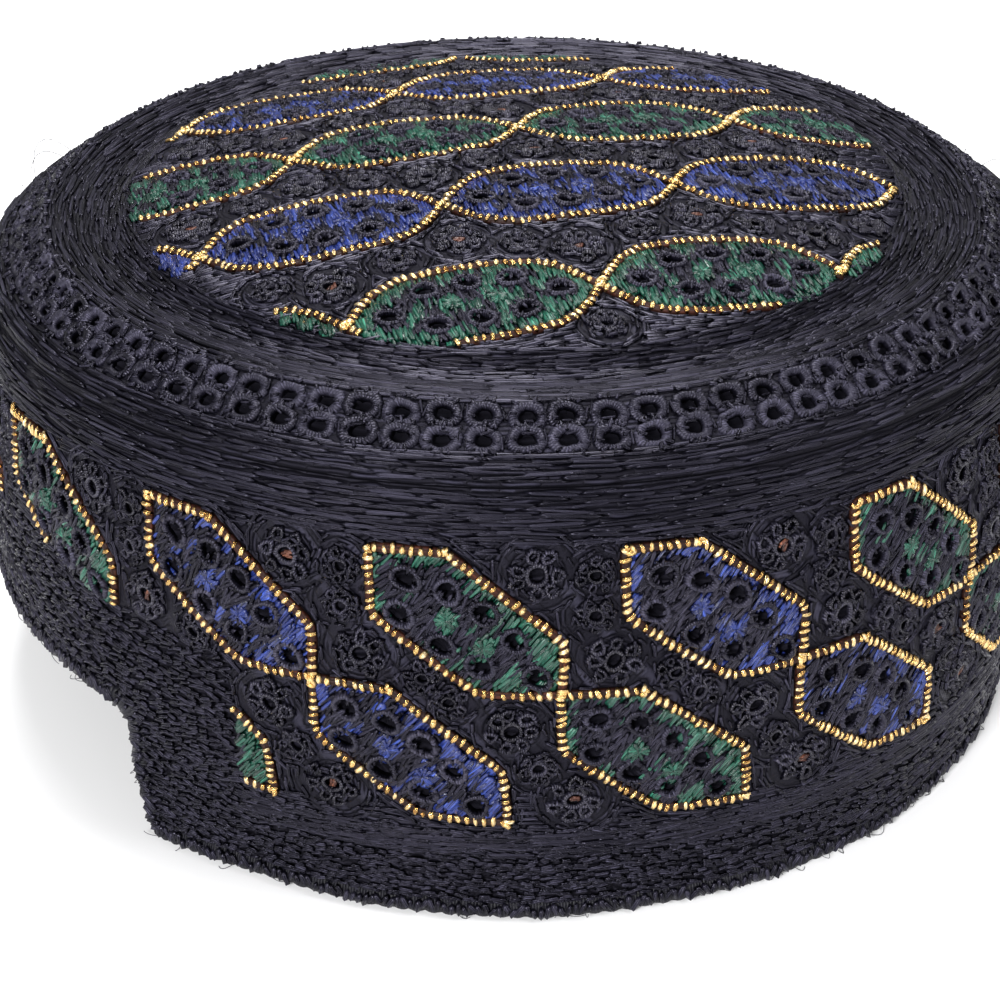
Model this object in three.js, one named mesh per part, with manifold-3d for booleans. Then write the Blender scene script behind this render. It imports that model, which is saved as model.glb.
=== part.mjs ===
// A Sindhi cap: a round, quilted and embroidered cap that stands on its own rim.
// Three pieces are sewn together: a shallow crown, an upright band with a cut-out over the
// forehead, and a bound edge that follows the rim and the cut-out.
// Millimetres, +Z up. The origin is the middle of the rim, at its lowest level, and the
// forehead is towards -Y.

import * as THREE from 'three';
import { mergeVertices } from 'three/addons/utils/BufferGeometryUtils.js';
import Module from 'manifold-3d';

// The upright band.
const rimRadius = 92;            // outside of the wall at the rim
const seamRadius = 92.3;         // outside of the wall where the crown is sewn on
const seamHeight = 77.6;         // height of that seam above the rim
const wallSwell = 3.1;           // how far the wall stands out at half its height
const wallThickness = 3;         // quilted cloth, padded by its stitches
const creaseDepth = 0.9;         // how far the seam is pulled in
const creaseHeight = 1.6;        // how far below the seam the pull begins
const ribRows = 3;               // dotted ribs along the foot of the band
const ribPitch = 3.7;            // from one rib to the next
const ribDepth = 0.5;            // from a rib's top to the valley beside it

// The crown.
const crownRise = 16.1;          // from the seam to the middle of the crown
const fieldRadius = 66.9;        // edge of the embroidered field
const fieldSwell = 7;            // how far the field rises from its edge to its middle

// The cut-out over the forehead.
const notchArc = 154;            // its width, measured along the rim
const notchHeight = 25;
const notchCorner = 3;           // radius of its upper corners

// The bound edge.
const bindingHeight = 3;         // how far it reaches up from the rim, and out from the cut-out
const bindingProud = 0.3;        // how far it stands out from the wall on either side
const bindingChamfer = 0.6;      // its eased lower corners
const sewingGap = 0.3;           // clearance between two pieces that are sewn together

// How finely round shapes are divided.
const turnSegments = 80;
const bandLevels = 9;
const fieldLevels = 6;
const cornerSegments = 5;
const weldDistance = 1e-4;       // points closer than this are one point

// Reach of the cutting shapes past the wall, as shares of its radius.
const cutterInner = 0.6;
const cutterOuter = 1.2;
const cutterBelow = 0.1;

// The crown from its seam to the edge of the field. across is the way from the seam (0) to the
// field's edge (1), up is the share of the shoulder's rise, and the rows marked inside are the
// ones that the smoother underside follows too.
const shoulderRows = [
  { ring: 'seam', across: 0, up: 0, inside: true },
  { ring: 'foot', across: 0.016, up: 0.15, inside: false },
  { ring: 'stitch lines', across: 0.106, up: 0.33, inside: true },
  { ring: 'valley below the eyelets', across: 0.161, up: 0.37, inside: false },
  { ring: 'outer eyelets', across: 0.248, up: 0.605, inside: true },
  { ring: 'valley between the eyelets', across: 0.319, up: 0.675, inside: false },
  { ring: 'inner eyelets', across: 0.406, up: 0.925, inside: true },
  { ring: 'valley above the eyelets', across: 0.5, up: 0.88, inside: false },
  { ring: 'flat stitch lines', across: 0.642, up: 0.83, inside: true },
  { ring: 'dip', across: 0.772, up: 0.705, inside: false },
  { ring: 'foot of the field', across: 0.898, up: 0.78, inside: true },
  { ring: 'edge of the field', across: 1, up: 1, inside: true },
];

const manifold = await Module();
manifold.setup();

// Outside radius of the wall at a height: a straight lean plus a parabola for the swell.
function wallRadius(height) {
  const share = height / seamHeight;
  return rimRadius + (seamRadius - rimRadius) * share + wallSwell * 4 * share * (1 - share);
}

function widestWall() {
  return Math.max(rimRadius, seamRadius) + wallSwell;
}

// A closed outline, turned once round the Z axis. It runs anticlockwise, with the radius to
// the right and the height up, so that the faces point outwards.
function turned(outline) {
  const points = outline.map(([radius, height]) => new THREE.Vector2(radius, height));
  return new THREE.LatheGeometry(points, turnSegments).rotateX(Math.PI / 2);
}

function closed(outline) {
  return [...outline, outline[0]];
}

function toSolid(geometry) {
  geometry.deleteAttribute('normal');
  geometry.deleteAttribute('uv');
  const merged = mergeVertices(geometry, weldDistance);
  return new manifold.Manifold(new manifold.Mesh({
    numProp: 3,
    vertProperties: new Float32Array(merged.attributes.position.array),
    triVerts: new Uint32Array(merged.index.array),
  }));
}

function toGeometry(solid) {
  const mesh = solid.getMesh();
  const geometry = new THREE.BufferGeometry();
  geometry.setAttribute('position', new THREE.BufferAttribute(mesh.vertProperties, 3));
  geometry.setIndex(new THREE.BufferAttribute(mesh.triVerts, 1));
  geometry.computeVertexNormals();
  return geometry;
}

// The ribs along the foot: each row has a valley and a top, so the wall reads as cords.
function ribOutline() {
  const start = bindingHeight + sewingGap;
  const outline = [];
  for (let row = 0; row < ribRows; row += 1) {
    const valley = start + row * ribPitch;
    const top = valley + ribPitch / 2;
    outline.push([wallRadius(valley) - ribDepth / 2, valley]);
    outline.push([wallRadius(top) + ribDepth / 2, top]);
  }
  const end = start + ribRows * ribPitch;
  outline.push([wallRadius(end) - ribDepth / 2, end]);
  return outline;
}

// The wall from the rim to the seam, with its ribs and the crease under the crown.
function wallSolid() {
  const ribs = ribOutline();
  const plainFoot = ribs[ribs.length - 1][1];
  const plainTop = seamHeight - creaseHeight;
  const outline = [[wallRadius(0) - wallThickness, 0], [wallRadius(0) - ribDepth / 2, 0], ...ribs];
  for (let level = 1; level <= bandLevels; level += 1) {
    const height = plainFoot + (plainTop - plainFoot) * level / bandLevels;
    outline.push([wallRadius(height), height]);
  }
  outline.push([seamRadius - creaseDepth, seamHeight]);
  for (let level = bandLevels; level >= 1; level -= 1) {
    const height = seamHeight * level / bandLevels;
    outline.push([wallRadius(height) - wallThickness, height]);
  }
  return toSolid(turned(closed(outline)));
}

// The cut-out as a block: its outline is drawn flat, with the way along the rim to the right,
// and then bent round the axis, so that its sides stand square to the wall.
// The block's outer end is flat, so it starts further out by as much as it cuts the corner.
function notchBlock(margin) {
  const half = notchArc / 2 + margin;
  const top = notchHeight + margin;
  const corner = notchCorner + margin;
  const below = -rimRadius * cutterBelow;
  const outline = new THREE.Shape();
  outline.moveTo(-half, below);
  outline.lineTo(half, below);
  outline.lineTo(half, top - corner);
  outline.absarc(half - corner, top - corner, corner, 0, Math.PI / 2, false);
  outline.lineTo(corner - half, top);
  outline.absarc(corner - half, top - corner, corner, Math.PI / 2, Math.PI, false);
  outline.closePath();
  const innerReach = rimRadius * cutterInner;
  const outerReach = widestWall() * cutterOuter / Math.cos(half / rimRadius);
  const block = new THREE.ExtrudeGeometry(outline, {
    depth: outerReach - innerReach,
    bevelEnabled: false,
    curveSegments: cornerSegments,
  });
  const place = block.attributes.position;
  for (let i = 0; i < place.count; i += 1) {
    const turn = place.getX(i) / rimRadius - Math.PI / 2;
    const radius = innerReach + place.getZ(i);
    place.setXYZ(i, radius * Math.cos(turn), radius * Math.sin(turn), place.getY(i));
  }
  return toSolid(block);
}

// A round slab from below the rim up to a height.
function footSlab(height) {
  const below = -rimRadius * cutterBelow;
  const reach = widestWall() * cutterOuter;
  const slab = new THREE.CylinderGeometry(reach, reach, height - below, turnSegments);
  return toSolid(slab.rotateX(Math.PI / 2).translate(0, 0, (height + below) / 2));
}

// All that belongs to the bound edge, as a space: the foot of the wall and a frame round the
// cut-out, each a little larger by the margin.
function edgeSpace(margin) {
  return footSlab(bindingHeight + margin).add(notchBlock(bindingHeight + margin));
}

function makeBand() {
  return toGeometry(wallSolid().subtract(edgeSpace(sewingGap)));
}

function makeBinding() {
  const top = notchHeight + 2 * bindingHeight;
  const steps = Math.ceil(bandLevels / 2);
  const outer = (height) => wallRadius(height) + bindingProud;
  const inner = (height) => wallRadius(height) - wallThickness - bindingProud;
  const outline = [
    [inner(0) + bindingChamfer, 0],
    [outer(0) - bindingChamfer, 0],
    [outer(bindingChamfer), bindingChamfer],
  ];
  for (let step = 1; step <= steps; step += 1) {
    const height = top * step / steps;
    outline.push([outer(height), height]);
  }
  for (let step = steps; step >= 1; step -= 1) {
    const height = top * step / steps;
    outline.push([inner(height), height]);
  }
  outline.push([inner(bindingChamfer), bindingChamfer]);
  const strip = toSolid(turned(closed(outline)));
  return toGeometry(strip.intersect(edgeSpace(0)).subtract(notchBlock(0)));
}

// A line of the crown's underside: each outer point is moved in by the wall's thickness,
// square to the line between its neighbours.
function undersideOf(points) {
  return points.map(([radius, height], i) => {
    const before = points[Math.max(i - 1, 0)];
    const after = points[Math.min(i + 1, points.length - 1)];
    const run = after[0] - before[0];
    const rise = after[1] - before[1];
    const length = Math.hypot(run, rise);
    return [radius - wallThickness * rise / length, height + wallThickness * run / length];
  });
}

function makeCrown() {
  const foot = seamHeight + sewingGap;
  const shoulderRise = seamHeight + crownRise - fieldSwell - foot;
  const footRadius = seamRadius - creaseDepth;
  const ringPoint = ({ across, up }) => [
    footRadius + (fieldRadius - footRadius) * across,
    foot + shoulderRise * up,
  ];
  // The field is a shallow parabola from its edge to the middle.
  const field = [];
  for (let level = 1; level <= fieldLevels; level += 1) {
    const share = 1 - level / fieldLevels;
    field.push([fieldRadius * share, foot + shoulderRise + fieldSwell * (1 - share * share)]);
  }
  const outside = [...shoulderRows.map(ringPoint), ...field];
  const inside = undersideOf([...shoulderRows.filter((row) => row.inside).map(ringPoint), ...field]);
  const apex = outside[outside.length - 1];
  inside[0] = [footRadius - wallThickness + creaseDepth, foot];
  inside[inside.length - 1] = [0, apex[1] - wallThickness];
  return turned([...inside.reverse(), ...outside]);
}

const threadNavy = 0x24222f;     // dark navy thread that covers the cloth
const bindingNavy = 0x1b1a24;    // the darker bound edge

function addPiece(group, name, geometry, color, roughness) {
  const finish = new THREE.MeshStandardMaterial({ color, roughness, metalness: 0 });
  const piece = new THREE.Mesh(geometry, finish);
  piece.name = name;
  group.add(piece);
}

const cap = new THREE.Group();
cap.name = 'sindhi_cap';
addPiece(cap, 'crown_top', makeCrown(), threadNavy, 0.75);
addPiece(cap, 'side_band', makeBand(), threadNavy, 0.75);
addPiece(cap, 'edge_binding', makeBinding(), bindingNavy, 0.8);

export default cap;
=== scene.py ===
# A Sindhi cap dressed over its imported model: quilted cloth, rings and knots of dark thread,
# satin hexagons outlined in gold, and a bound edge.
from functools import partial
import bpy
import numpy as np
from mathutils import Matrix, Vector


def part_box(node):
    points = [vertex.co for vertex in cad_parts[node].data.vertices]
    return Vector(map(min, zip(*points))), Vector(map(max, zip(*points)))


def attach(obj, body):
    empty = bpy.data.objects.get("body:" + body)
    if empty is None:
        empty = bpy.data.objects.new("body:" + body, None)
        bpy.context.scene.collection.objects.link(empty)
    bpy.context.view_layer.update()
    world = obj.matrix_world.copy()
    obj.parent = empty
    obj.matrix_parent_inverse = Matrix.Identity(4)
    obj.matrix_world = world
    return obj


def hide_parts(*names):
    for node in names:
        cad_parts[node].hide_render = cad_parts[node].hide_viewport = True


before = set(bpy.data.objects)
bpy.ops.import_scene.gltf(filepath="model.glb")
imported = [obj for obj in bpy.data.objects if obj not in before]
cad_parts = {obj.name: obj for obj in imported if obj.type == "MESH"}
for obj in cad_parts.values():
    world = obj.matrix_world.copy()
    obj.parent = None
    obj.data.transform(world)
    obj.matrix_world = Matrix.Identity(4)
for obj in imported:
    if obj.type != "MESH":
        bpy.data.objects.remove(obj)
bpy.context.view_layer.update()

mm = 0.001
draw = np.random.default_rng(41)

# The photograph's view.
viewForm = {
    "place": (0.35296, 0.0, 0.22824),
    "right": (-0.00601, 0.99998, -0.00365),
    "up": (-0.50331, 0.00013, 0.86410),
    "forward": (-0.86408, -0.00703, -0.50330),
    "lens": 77.41,
    "sensor": 36.0,
}


def placeCamera():
    camera = bpy.data.objects.new("viewCamera", bpy.data.cameras.new("viewCamera"))
    columns = [viewForm["right"], viewForm["up"], [-x for x in viewForm["forward"]]]
    turn = Matrix([list(row) for row in zip(*columns)]).to_4x4()
    camera.matrix_world = Matrix.Translation(viewForm["place"]) @ turn
    camera.data.lens = viewForm["lens"]
    camera.data.sensor_width = viewForm["sensor"]
    camera.data.clip_start = 0.01
    bpy.context.scene.collection.objects.link(camera)
    bpy.context.scene.camera = camera


placeCamera()
print("camera placed")

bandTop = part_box("side_band")[1].z / mm
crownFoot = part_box("crown_top")[0].z / mm
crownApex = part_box("crown_top")[1].z / mm

# The cap's form, in millimetres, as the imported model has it.
capForm = {
    "rimRadius": 92.0,        # outside of the wall at the rim
    "seamRadius": 92.3,       # outside of the wall below the crown
    "wallSwell": 3.1,         # how far the wall stands out at half its height
    "thick": 3.0,
    "creaseDepth": 0.9,
    "creaseHeight": 2.6,
    "fieldRadius": 66.9,      # edge of the embroidered field
    "fieldSwell": 7.0,
    "notchHalf": 77.0,        # half of the cut-out's width, along the rim
    "notchHeight": 25.0,
    "notchCorner": 3.0,
    "notchTurn": -np.pi / 2,  # the forehead
    "chartRadius": 93.0,      # arc lengths on the band are measured at this radius
    "flare": 1.5,             # how far the cut-out's feet stand out
    "flareAt": (80, 11, 26),  # where along the wall, how wide, and up to what height
    "spread": (1.3, 2.2),     # how far its sides are pulled apart, and how much further at the foot
    "spreadAt": (78, 12),     # where along the wall, and how wide
    "spreadFade": ((0, 15), (20, 40)),    # the heights between which the foot's share and all of it fade
    # the wall's unevenness: depth, waves round and their phase, length and phase up the wall
    "waves": [(0.35, 3, 0.7, 23, 0.4), (0.22, 8, 1.9, 15, np.pi / 2), (0.16, 19, 0.3, 9, 1.0)],
    "rib": {"depth": 0.22, "foot": 5.15, "pitch": 3.7, "fade": (13.5, 15)},
}
# From the seam (0) to the field's edge (1), and the share of the shoulder's rise.
shoulderRows = np.array([
    (0, 0), (0.016, 0.15), (0.106, 0.33), (0.161, 0.37), (0.248, 0.605), (0.319, 0.675),
    (0.406, 0.925), (0.5, 0.88), (0.642, 0.83), (0.772, 0.705), (0.898, 0.78), (1, 1),
])
bandRound = 2 * np.pi * capForm["chartRadius"]        # once round the band, in its chart
notchMiddle = capForm["notchTurn"] * capForm["chartRadius"]
farAway = 50.0                                        # stands for no outline near


def smoothStep(value, start, end):
    share = np.clip((value - start) / (end - start), 0, 1)
    return share * share * (3 - 2 * share)


def bellCurve(value, middle, width):
    return np.exp(-((value - middle) / width) ** 2)


# Points at an angle and a radius round the origin.
def polar(turn, radius=1.0):
    return np.stack([np.cos(turn) * radius, np.sin(turn) * radius], -1)


def evenTurns(count, extra=0):
    return np.arange(count + extra) * 2 * np.pi / count


def lengthOf(rows):
    return np.hypot(*rows.T)


# Length along a flat line, from its first point to each one.
def runLength(line):
    return np.concatenate([[0], np.cumsum(lengthOf(np.diff(line, axis=0)))])


def unitRows(rows):
    return rows / np.linalg.norm(rows, axis=-1, keepdims=True)


# The short way round the band.
def shortWay(x):
    return (x + bandRound / 2) % bandRound - bandRound / 2


# Arc length from the middle of the cut-out.
def fromNotch(x):
    return shortWay(x - notchMiddle)


# The cut-out's sides are pulled apart, most at the foot: a bell curve along the wall times
# steps in height.
def pulledAlong(x, z):
    away = fromNotch(x)
    wide, footWide = capForm["spread"]
    footFade, fade = capForm["spreadFade"]
    pull = (wide + footWide * (1 - smoothStep(z, *footFade))) * (1 - smoothStep(z, *fade))
    return np.sign(away) * pull * bellCurve(np.abs(away), *capForm["spreadAt"])


# Radius of the wall: a straight lean plus a parabola for the swell, a slow unevenness that
# fades towards the seam, a flare at the feet of the cut-out, and the pull of the crease.
def wallRadius(x, z):
    share = z / bandTop
    turn = x / capForm["chartRadius"]
    lean = capForm["rimRadius"] + (capForm["seamRadius"] - capForm["rimRadius"]) * share
    swell = capForm["wallSwell"] * 4 * share * (1 - share)
    slow = sum(depth * np.sin(count * turn + phase) * np.sin(z / length + upPhase)
               for depth, count, phase, length, upPhase in capForm["waves"])
    middle, width, high = capForm["flareAt"]
    foot = bellCurve(np.abs(fromNotch(x)), middle, width) * (1 - smoothStep(z, 0, high))
    crease = capForm["creaseDepth"] * smoothStep(z, bandTop - capForm["creaseHeight"], bandTop)
    return lean + swell + slow * (1 - share ** 3) + capForm["flare"] * foot - crease


# The three soft ribs along the foot, as a cosine that fades above them.
def ribHeight(z):
    rib = capForm["rib"]
    wave = np.cos(2 * np.pi * (z - rib["foot"]) / rib["pitch"])
    return rib["depth"] * wave * (1 - smoothStep(z, *rib["fade"]))


# Place on the band: x along the wall, z up, and lift out from it, with the directions there.
def bandChart(at, lift=0.0):
    x, z = at[:, 0], at[:, 1]
    x = x + pulledAlong(x, z)
    turn = x / capForm["chartRadius"]
    step = 0.4
    slope = (wallRadius(x, z + step) - wallRadius(x, z - step)) / (2 * step)
    along = np.stack([-np.sin(turn), np.cos(turn), np.zeros_like(turn)], 1)
    flat = np.stack([np.cos(turn), np.sin(turn), np.zeros_like(turn)], 1)
    up = unitRows(flat * slope[:, None] + np.array([0, 0, 1.0]))
    out = np.cross(along, up)
    point = flat * (wallRadius(x, z) + ribHeight(z))[:, None]
    point[:, 2] = z
    return point + out * np.reshape(lift, (-1, 1)), along, up, out


# The crown's profile from the seam to the middle: the rows above and the field's parabola,
# taken every quarter millimetre of their length and averaged with a bell curve.
def crownProfile():
    footRadius = capForm["seamRadius"] - capForm["creaseDepth"]
    fieldFoot = crownApex - capForm["fieldSwell"]
    radius = footRadius + (capForm["fieldRadius"] - footRadius) * shoulderRows[:, 0]
    height = crownFoot + (fieldFoot - crownFoot) * shoulderRows[:, 1]
    inner = np.linspace(1, 0, 61)[1:]
    radius = np.concatenate([radius, capForm["fieldRadius"] * inner])
    height = np.concatenate([height, fieldFoot + capForm["fieldSwell"] * (1 - inner ** 2)])
    length = runLength(np.stack([radius, height], 1))
    even = np.linspace(0, length[-1], int(length[-1] / 0.25))
    bell = bellCurve(np.arange(-8, 9), 0, 3.2)
    bell /= bell.sum()
    smooth = []
    for line in (np.interp(even, length, radius), np.interp(even, length, height)):
        padded = np.pad(line, 8, mode="reflect", reflect_type="odd")
        smooth.append(np.convolve(padded, bell, mode="valid"))
    smooth[0] = np.minimum.accumulate(smooth[0])
    return smooth[0], smooth[1]


crownRadii, crownHeights = crownProfile()
crownSlopes = np.gradient(crownHeights, crownRadii - 1e-4 * np.arange(len(crownRadii)))


# Place on the crown above (x, y), with a slow unevenness that dies out at the seam.
def crownChart(at, lift=0.0):
    x, y = at[:, 0], at[:, 1]
    radius = np.hypot(x, y)
    slow = 0.3 * np.sin(x / 17 + 0.5) * np.cos(y / 21 + 0.2) + 0.2 * np.sin(x / 8 - y / 11)
    height = np.interp(radius, crownRadii[::-1], crownHeights[::-1])
    height = height + slow * (1 - smoothStep(radius, 40, 88))
    slope = np.interp(radius, crownRadii[::-1], crownSlopes[::-1])
    share = slope / np.maximum(radius, 1e-6)
    out = unitRows(np.stack([-share * x, -share * y, np.ones_like(x)], 1))
    along = unitRows(np.stack([out[:, 2], np.zeros_like(x), -out[:, 0]], 1))
    point = np.stack([x, y, height], 1)
    return point + out * np.reshape(lift, (-1, 1)), along, np.cross(out, along), out


# Sets numbers on a node's inputs and links other nodes' outputs to them.
def feed(tree, node, inputs):
    for key, term in inputs.items():
        if isinstance(term, (int, float)):
            node.inputs[key].default_value = term
        else:
            tree.links.new(term, node.inputs[key])
    return node


def addNode(tree, kind, inputs=(), **settings):
    node = tree.nodes.new("ShaderNode" + kind)
    for name, value in settings.items():
        setattr(node, name, value)
    return feed(tree, node, dict(inputs))


# A node that works a sum.
def mathNode(tree, operation, *terms):
    return addNode(tree, "Math", enumerate(terms), operation=operation).outputs[0]


def rampNode(tree, value, stops):
    node = addNode(tree, "ValToRGB", {0: value})
    ramp = node.color_ramp
    while len(ramp.elements) < len(stops):
        ramp.elements.new(0.5)
    for element, (place, colour) in zip(ramp.elements, stops):
        element.position = place
        element.color = (*colour, 1)
    return node.outputs[0]


def newGroup(name, inputs, outputs):
    group = bpy.data.node_groups.new(name, "ShaderNodeTree")
    for label, kind in inputs:
        group.interface.new_socket(name=label, in_out="INPUT", socket_type=kind)
    for label in outputs:
        group.interface.new_socket(name=label, in_out="OUTPUT", socket_type="NodeSocketFloat")
    entry = group.nodes.new("NodeGroupInput")
    leave = group.nodes.new("NodeGroupOutput")
    return group, entry.outputs, leave


# Rows of thread laid side by side: each row is a half sine across, cut into stitches that
# thin out at their ends, and every stitch has a brightness of its own.
def makeThreadLay():
    group, entry, leave = newGroup(
        "threadLay",
        [("Lay", "NodeSocketVector"), ("Pitch", "NodeSocketFloat"),
         ("Stitch", "NodeSocketFloat"), ("Waver", "NodeSocketFloat")],
        ["Height", "Glint"],
    )
    sums = partial(mathNode, group)
    drift = addNode(group, "TexNoise", {"Scale": 0.16, "Detail": 2, "Vector": entry["Lay"]})
    parts = addNode(group, "SeparateXYZ", {0: entry["Lay"]}).outputs
    off = sums("SUBTRACT", drift.outputs["Fac"], 0.5)
    row = sums("DIVIDE", sums("MULTIPLY_ADD", off, entry["Waver"], parts["Y"]), entry["Pitch"])
    rowNumber = sums("FLOOR", row)
    shift = addNode(group, "TexWhiteNoise", {"W": rowNumber}, noise_dimensions="1D")
    place = sums("DIVIDE", parts["X"], entry["Stitch"])
    place = sums("MULTIPLY_ADD", shift.outputs["Value"], 9.7, place)
    place = sums("MULTIPLY_ADD", off, 1.6, place)
    roundness, ends = [sums("SINE", sums("MULTIPLY", sums("FRACT", term), np.pi)) for term in (row, place)]
    spot = addNode(group, "CombineXYZ", {0: rowNumber, 1: sums("FLOOR", place)})
    shine = addNode(group, "TexWhiteNoise", {"Vector": spot.outputs[0]}, noise_dimensions="2D")
    glint = shine.outputs["Value"]
    height = sums("MULTIPLY", sums("POWER", roundness, 0.8), sums("POWER", ends, 0.4))
    rise = sums("MULTIPLY_ADD", glint, 0.45, 0.55)
    feed(group, leave, {"Height": sums("MULTIPLY", height, rise), "Glint": glint})
    return group


# Loose fibres and lint: fine noise, and a coarser mask for where the thread has roughed up.
def makeFibreFuzz():
    group, entry, leave = newGroup(
        "fibreFuzz", [("Place", "NodeSocketVector"), ("Grain", "NodeSocketFloat")], ["Fuzz", "Wear"],
    )
    place, grain = entry["Place"], entry["Grain"]
    fine = addNode(group, "TexNoise", {"Vector": place, "Scale": grain, "Detail": 4, "Roughness": 0.7})
    coarse = addNode(group, "TexNoise", {"Vector": place, "Scale": 45, "Detail": 3})
    wear = mathNode(group, "MULTIPLY", mathNode(group, "SUBTRACT", coarse.outputs["Fac"], 0.42), 4.0)
    wear = mathNode(group, "MINIMUM", mathNode(group, "MAXIMUM", wear, 0.0), 1.0)
    feed(group, leave, {"Fuzz": fine.outputs["Fac"], "Wear": wear})
    return group


threadLay = makeThreadLay()
fibreFuzz = makeFibreFuzz()


def newFinish(name, shine):
    finish = bpy.data.materials.new(name)
    finish.use_nodes = True
    surface = finish.node_tree.nodes["Principled BSDF"]
    for socket, value in shine.items():
        surface.inputs[socket].default_value = value
    return finish, finish.node_tree, surface


def groupNode(tree, group, inputs):
    return addNode(tree, "Group", inputs, node_tree=group).outputs


def markNode(tree, name):
    return addNode(tree, "Attribute", attribute_name=name).outputs["Fac"]


def layNode(tree):
    return addNode(tree, "UVMap", uv_map="lay").outputs[0]


def fuzzNode(tree, grain):
    place = addNode(tree, "TexCoord").outputs["Object"]
    return groupNode(tree, fibreFuzz, {"Place": place, "Grain": grain})


# The surface's colour and roughness, and its relief in metres.
def dressSurface(tree, surface, colour, rough, height, relief):
    bump = addNode(tree, "Bump", {"Strength": 1.0, "Distance": relief, "Height": height})
    feed(tree, surface, {"Base Color": colour, "Roughness": rough, "Normal": bump.outputs["Normal"]})


# The cloth: rows of dark thread along its lay, and rows that follow an outline close to it.
clothForm = {
    "echo": {"Pitch": 0.8, "Stitch": 3.4, "Waver": 0.5}, "echoReach": 3.0,
    "grain": 2600.0, "relief": 0.00042,
    "tones": [(0.0, (0.0005, 0.0005, 0.0010)), (0.45, (0.0022, 0.0020, 0.0040)),
              (1.0, (0.022, 0.021, 0.034))],
}


def makeClothFinish(name, pitch, stitch, waver):
    finish, tree, surface = newFinish(name, {
        "Specular IOR Level": 0.2, "Specular Tint": (0.78, 0.74, 1, 1),
    })
    sums = partial(mathNode, tree)
    lay, echo, pitAndShade = layNode(tree), markNode(tree, "echo"), markNode(tree, "pitAndShade")
    parts = addNode(tree, "SeparateXYZ", {0: lay}).outputs
    ground = groupNode(tree, threadLay, {"Lay": lay, "Pitch": pitch, "Stitch": stitch, "Waver": waver})
    runs = sums("MULTIPLY_ADD", parts["Y"], 0.8, parts["X"])
    besides = addNode(tree, "CombineXYZ", {0: runs, 1: echo}).outputs[0]
    follow = groupNode(tree, threadLay, {"Lay": besides, **clothForm["echo"]})
    near = sums("GREATER_THAN", clothForm["echoReach"], echo)
    height, glint = [addNode(tree, "Mix", {0: near, 2: ground[label], 3: follow[label]}).outputs[0]
                     for label in ("Height", "Glint")]
    fuzz = fuzzNode(tree, clothForm["grain"])
    # The colour is lighter on the crest of each thread row and darker in the grooves between rows and at
    # stitch ends: painted shade under the bump. Each stitch's Glint lifts it further, a painted glint, and
    # the fuzz adds tone that differs at random.
    tone = sums("MULTIPLY", height, sums("MULTIPLY_ADD", glint, 0.6, 0.4))
    tone = sums("MULTIPLY_ADD", sums("SUBTRACT", fuzz["Fuzz"], 0.5), 0.5, tone)
    # the holes are darkened in colour too: painted shade in the recesses
    tone = sums("MULTIPLY", tone, sums("SUBTRACT", 1.0, sums("MULTIPLY", pitAndShade, 0.9)))
    colour = rampNode(tree, tone, clothForm["tones"])
    rough = sums("MULTIPLY_ADD", glint, -0.22, 0.62)
    rough = sums("MULTIPLY_ADD", fuzz["Wear"], 0.14, rough)
    rough = sums("MULTIPLY_ADD", pitAndShade, 0.4, rough)
    relief = sums("MULTIPLY_ADD", fuzz["Fuzz"], 0.25, height)
    dressSurface(tree, surface, colour, rough, relief, clothForm["relief"])
    return finish


# Thread of one dye: its rows run along the piece's own lay, and each stitch differs a little.
def makeThreadFinish(name, deep, mid, bright, shine, pitch, stitch, rough, relief, grain=3200.0):
    finish, tree, surface = newFinish(name, shine)
    sums = partial(mathNode, tree)
    tint = markNode(tree, "tint")
    rows = groupNode(tree, threadLay,
                     {"Lay": layNode(tree), "Pitch": pitch, "Stitch": stitch, "Waver": pitch * 0.5})
    fuzz = fuzzNode(tree, grain)
    # The colour is lighter on the crest of each row and darker in the grooves between rows and at stitch
    # ends: painted shade under the bump. The tint gives each stitch a tone of its own, and only stitches with
    # a high tint on a crest reach the bright end of the ramp, a painted highlight.
    tone = sums("MULTIPLY_ADD", tint, 0.6, sums("MULTIPLY", rows["Height"], 0.5))
    tone = sums("MULTIPLY_ADD", sums("SUBTRACT", fuzz["Fuzz"], 0.5), 0.4, tone)
    soft = tuple(0.75 * m + 0.25 * b for m, b in zip(mid, bright))
    colour = rampNode(tree, tone, [(0.08, deep), (0.45, mid), (0.8, soft), (1.0, bright)])
    uneven = sums("MULTIPLY_ADD", fuzz["Wear"], 0.12, sums("MULTIPLY_ADD", tint, 0.2, rough - 0.1))
    height = sums("MULTIPLY_ADD", fuzz["Fuzz"], 0.3, rows["Height"])
    dressSurface(tree, surface, colour, uneven, height, relief)
    return finish


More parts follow.
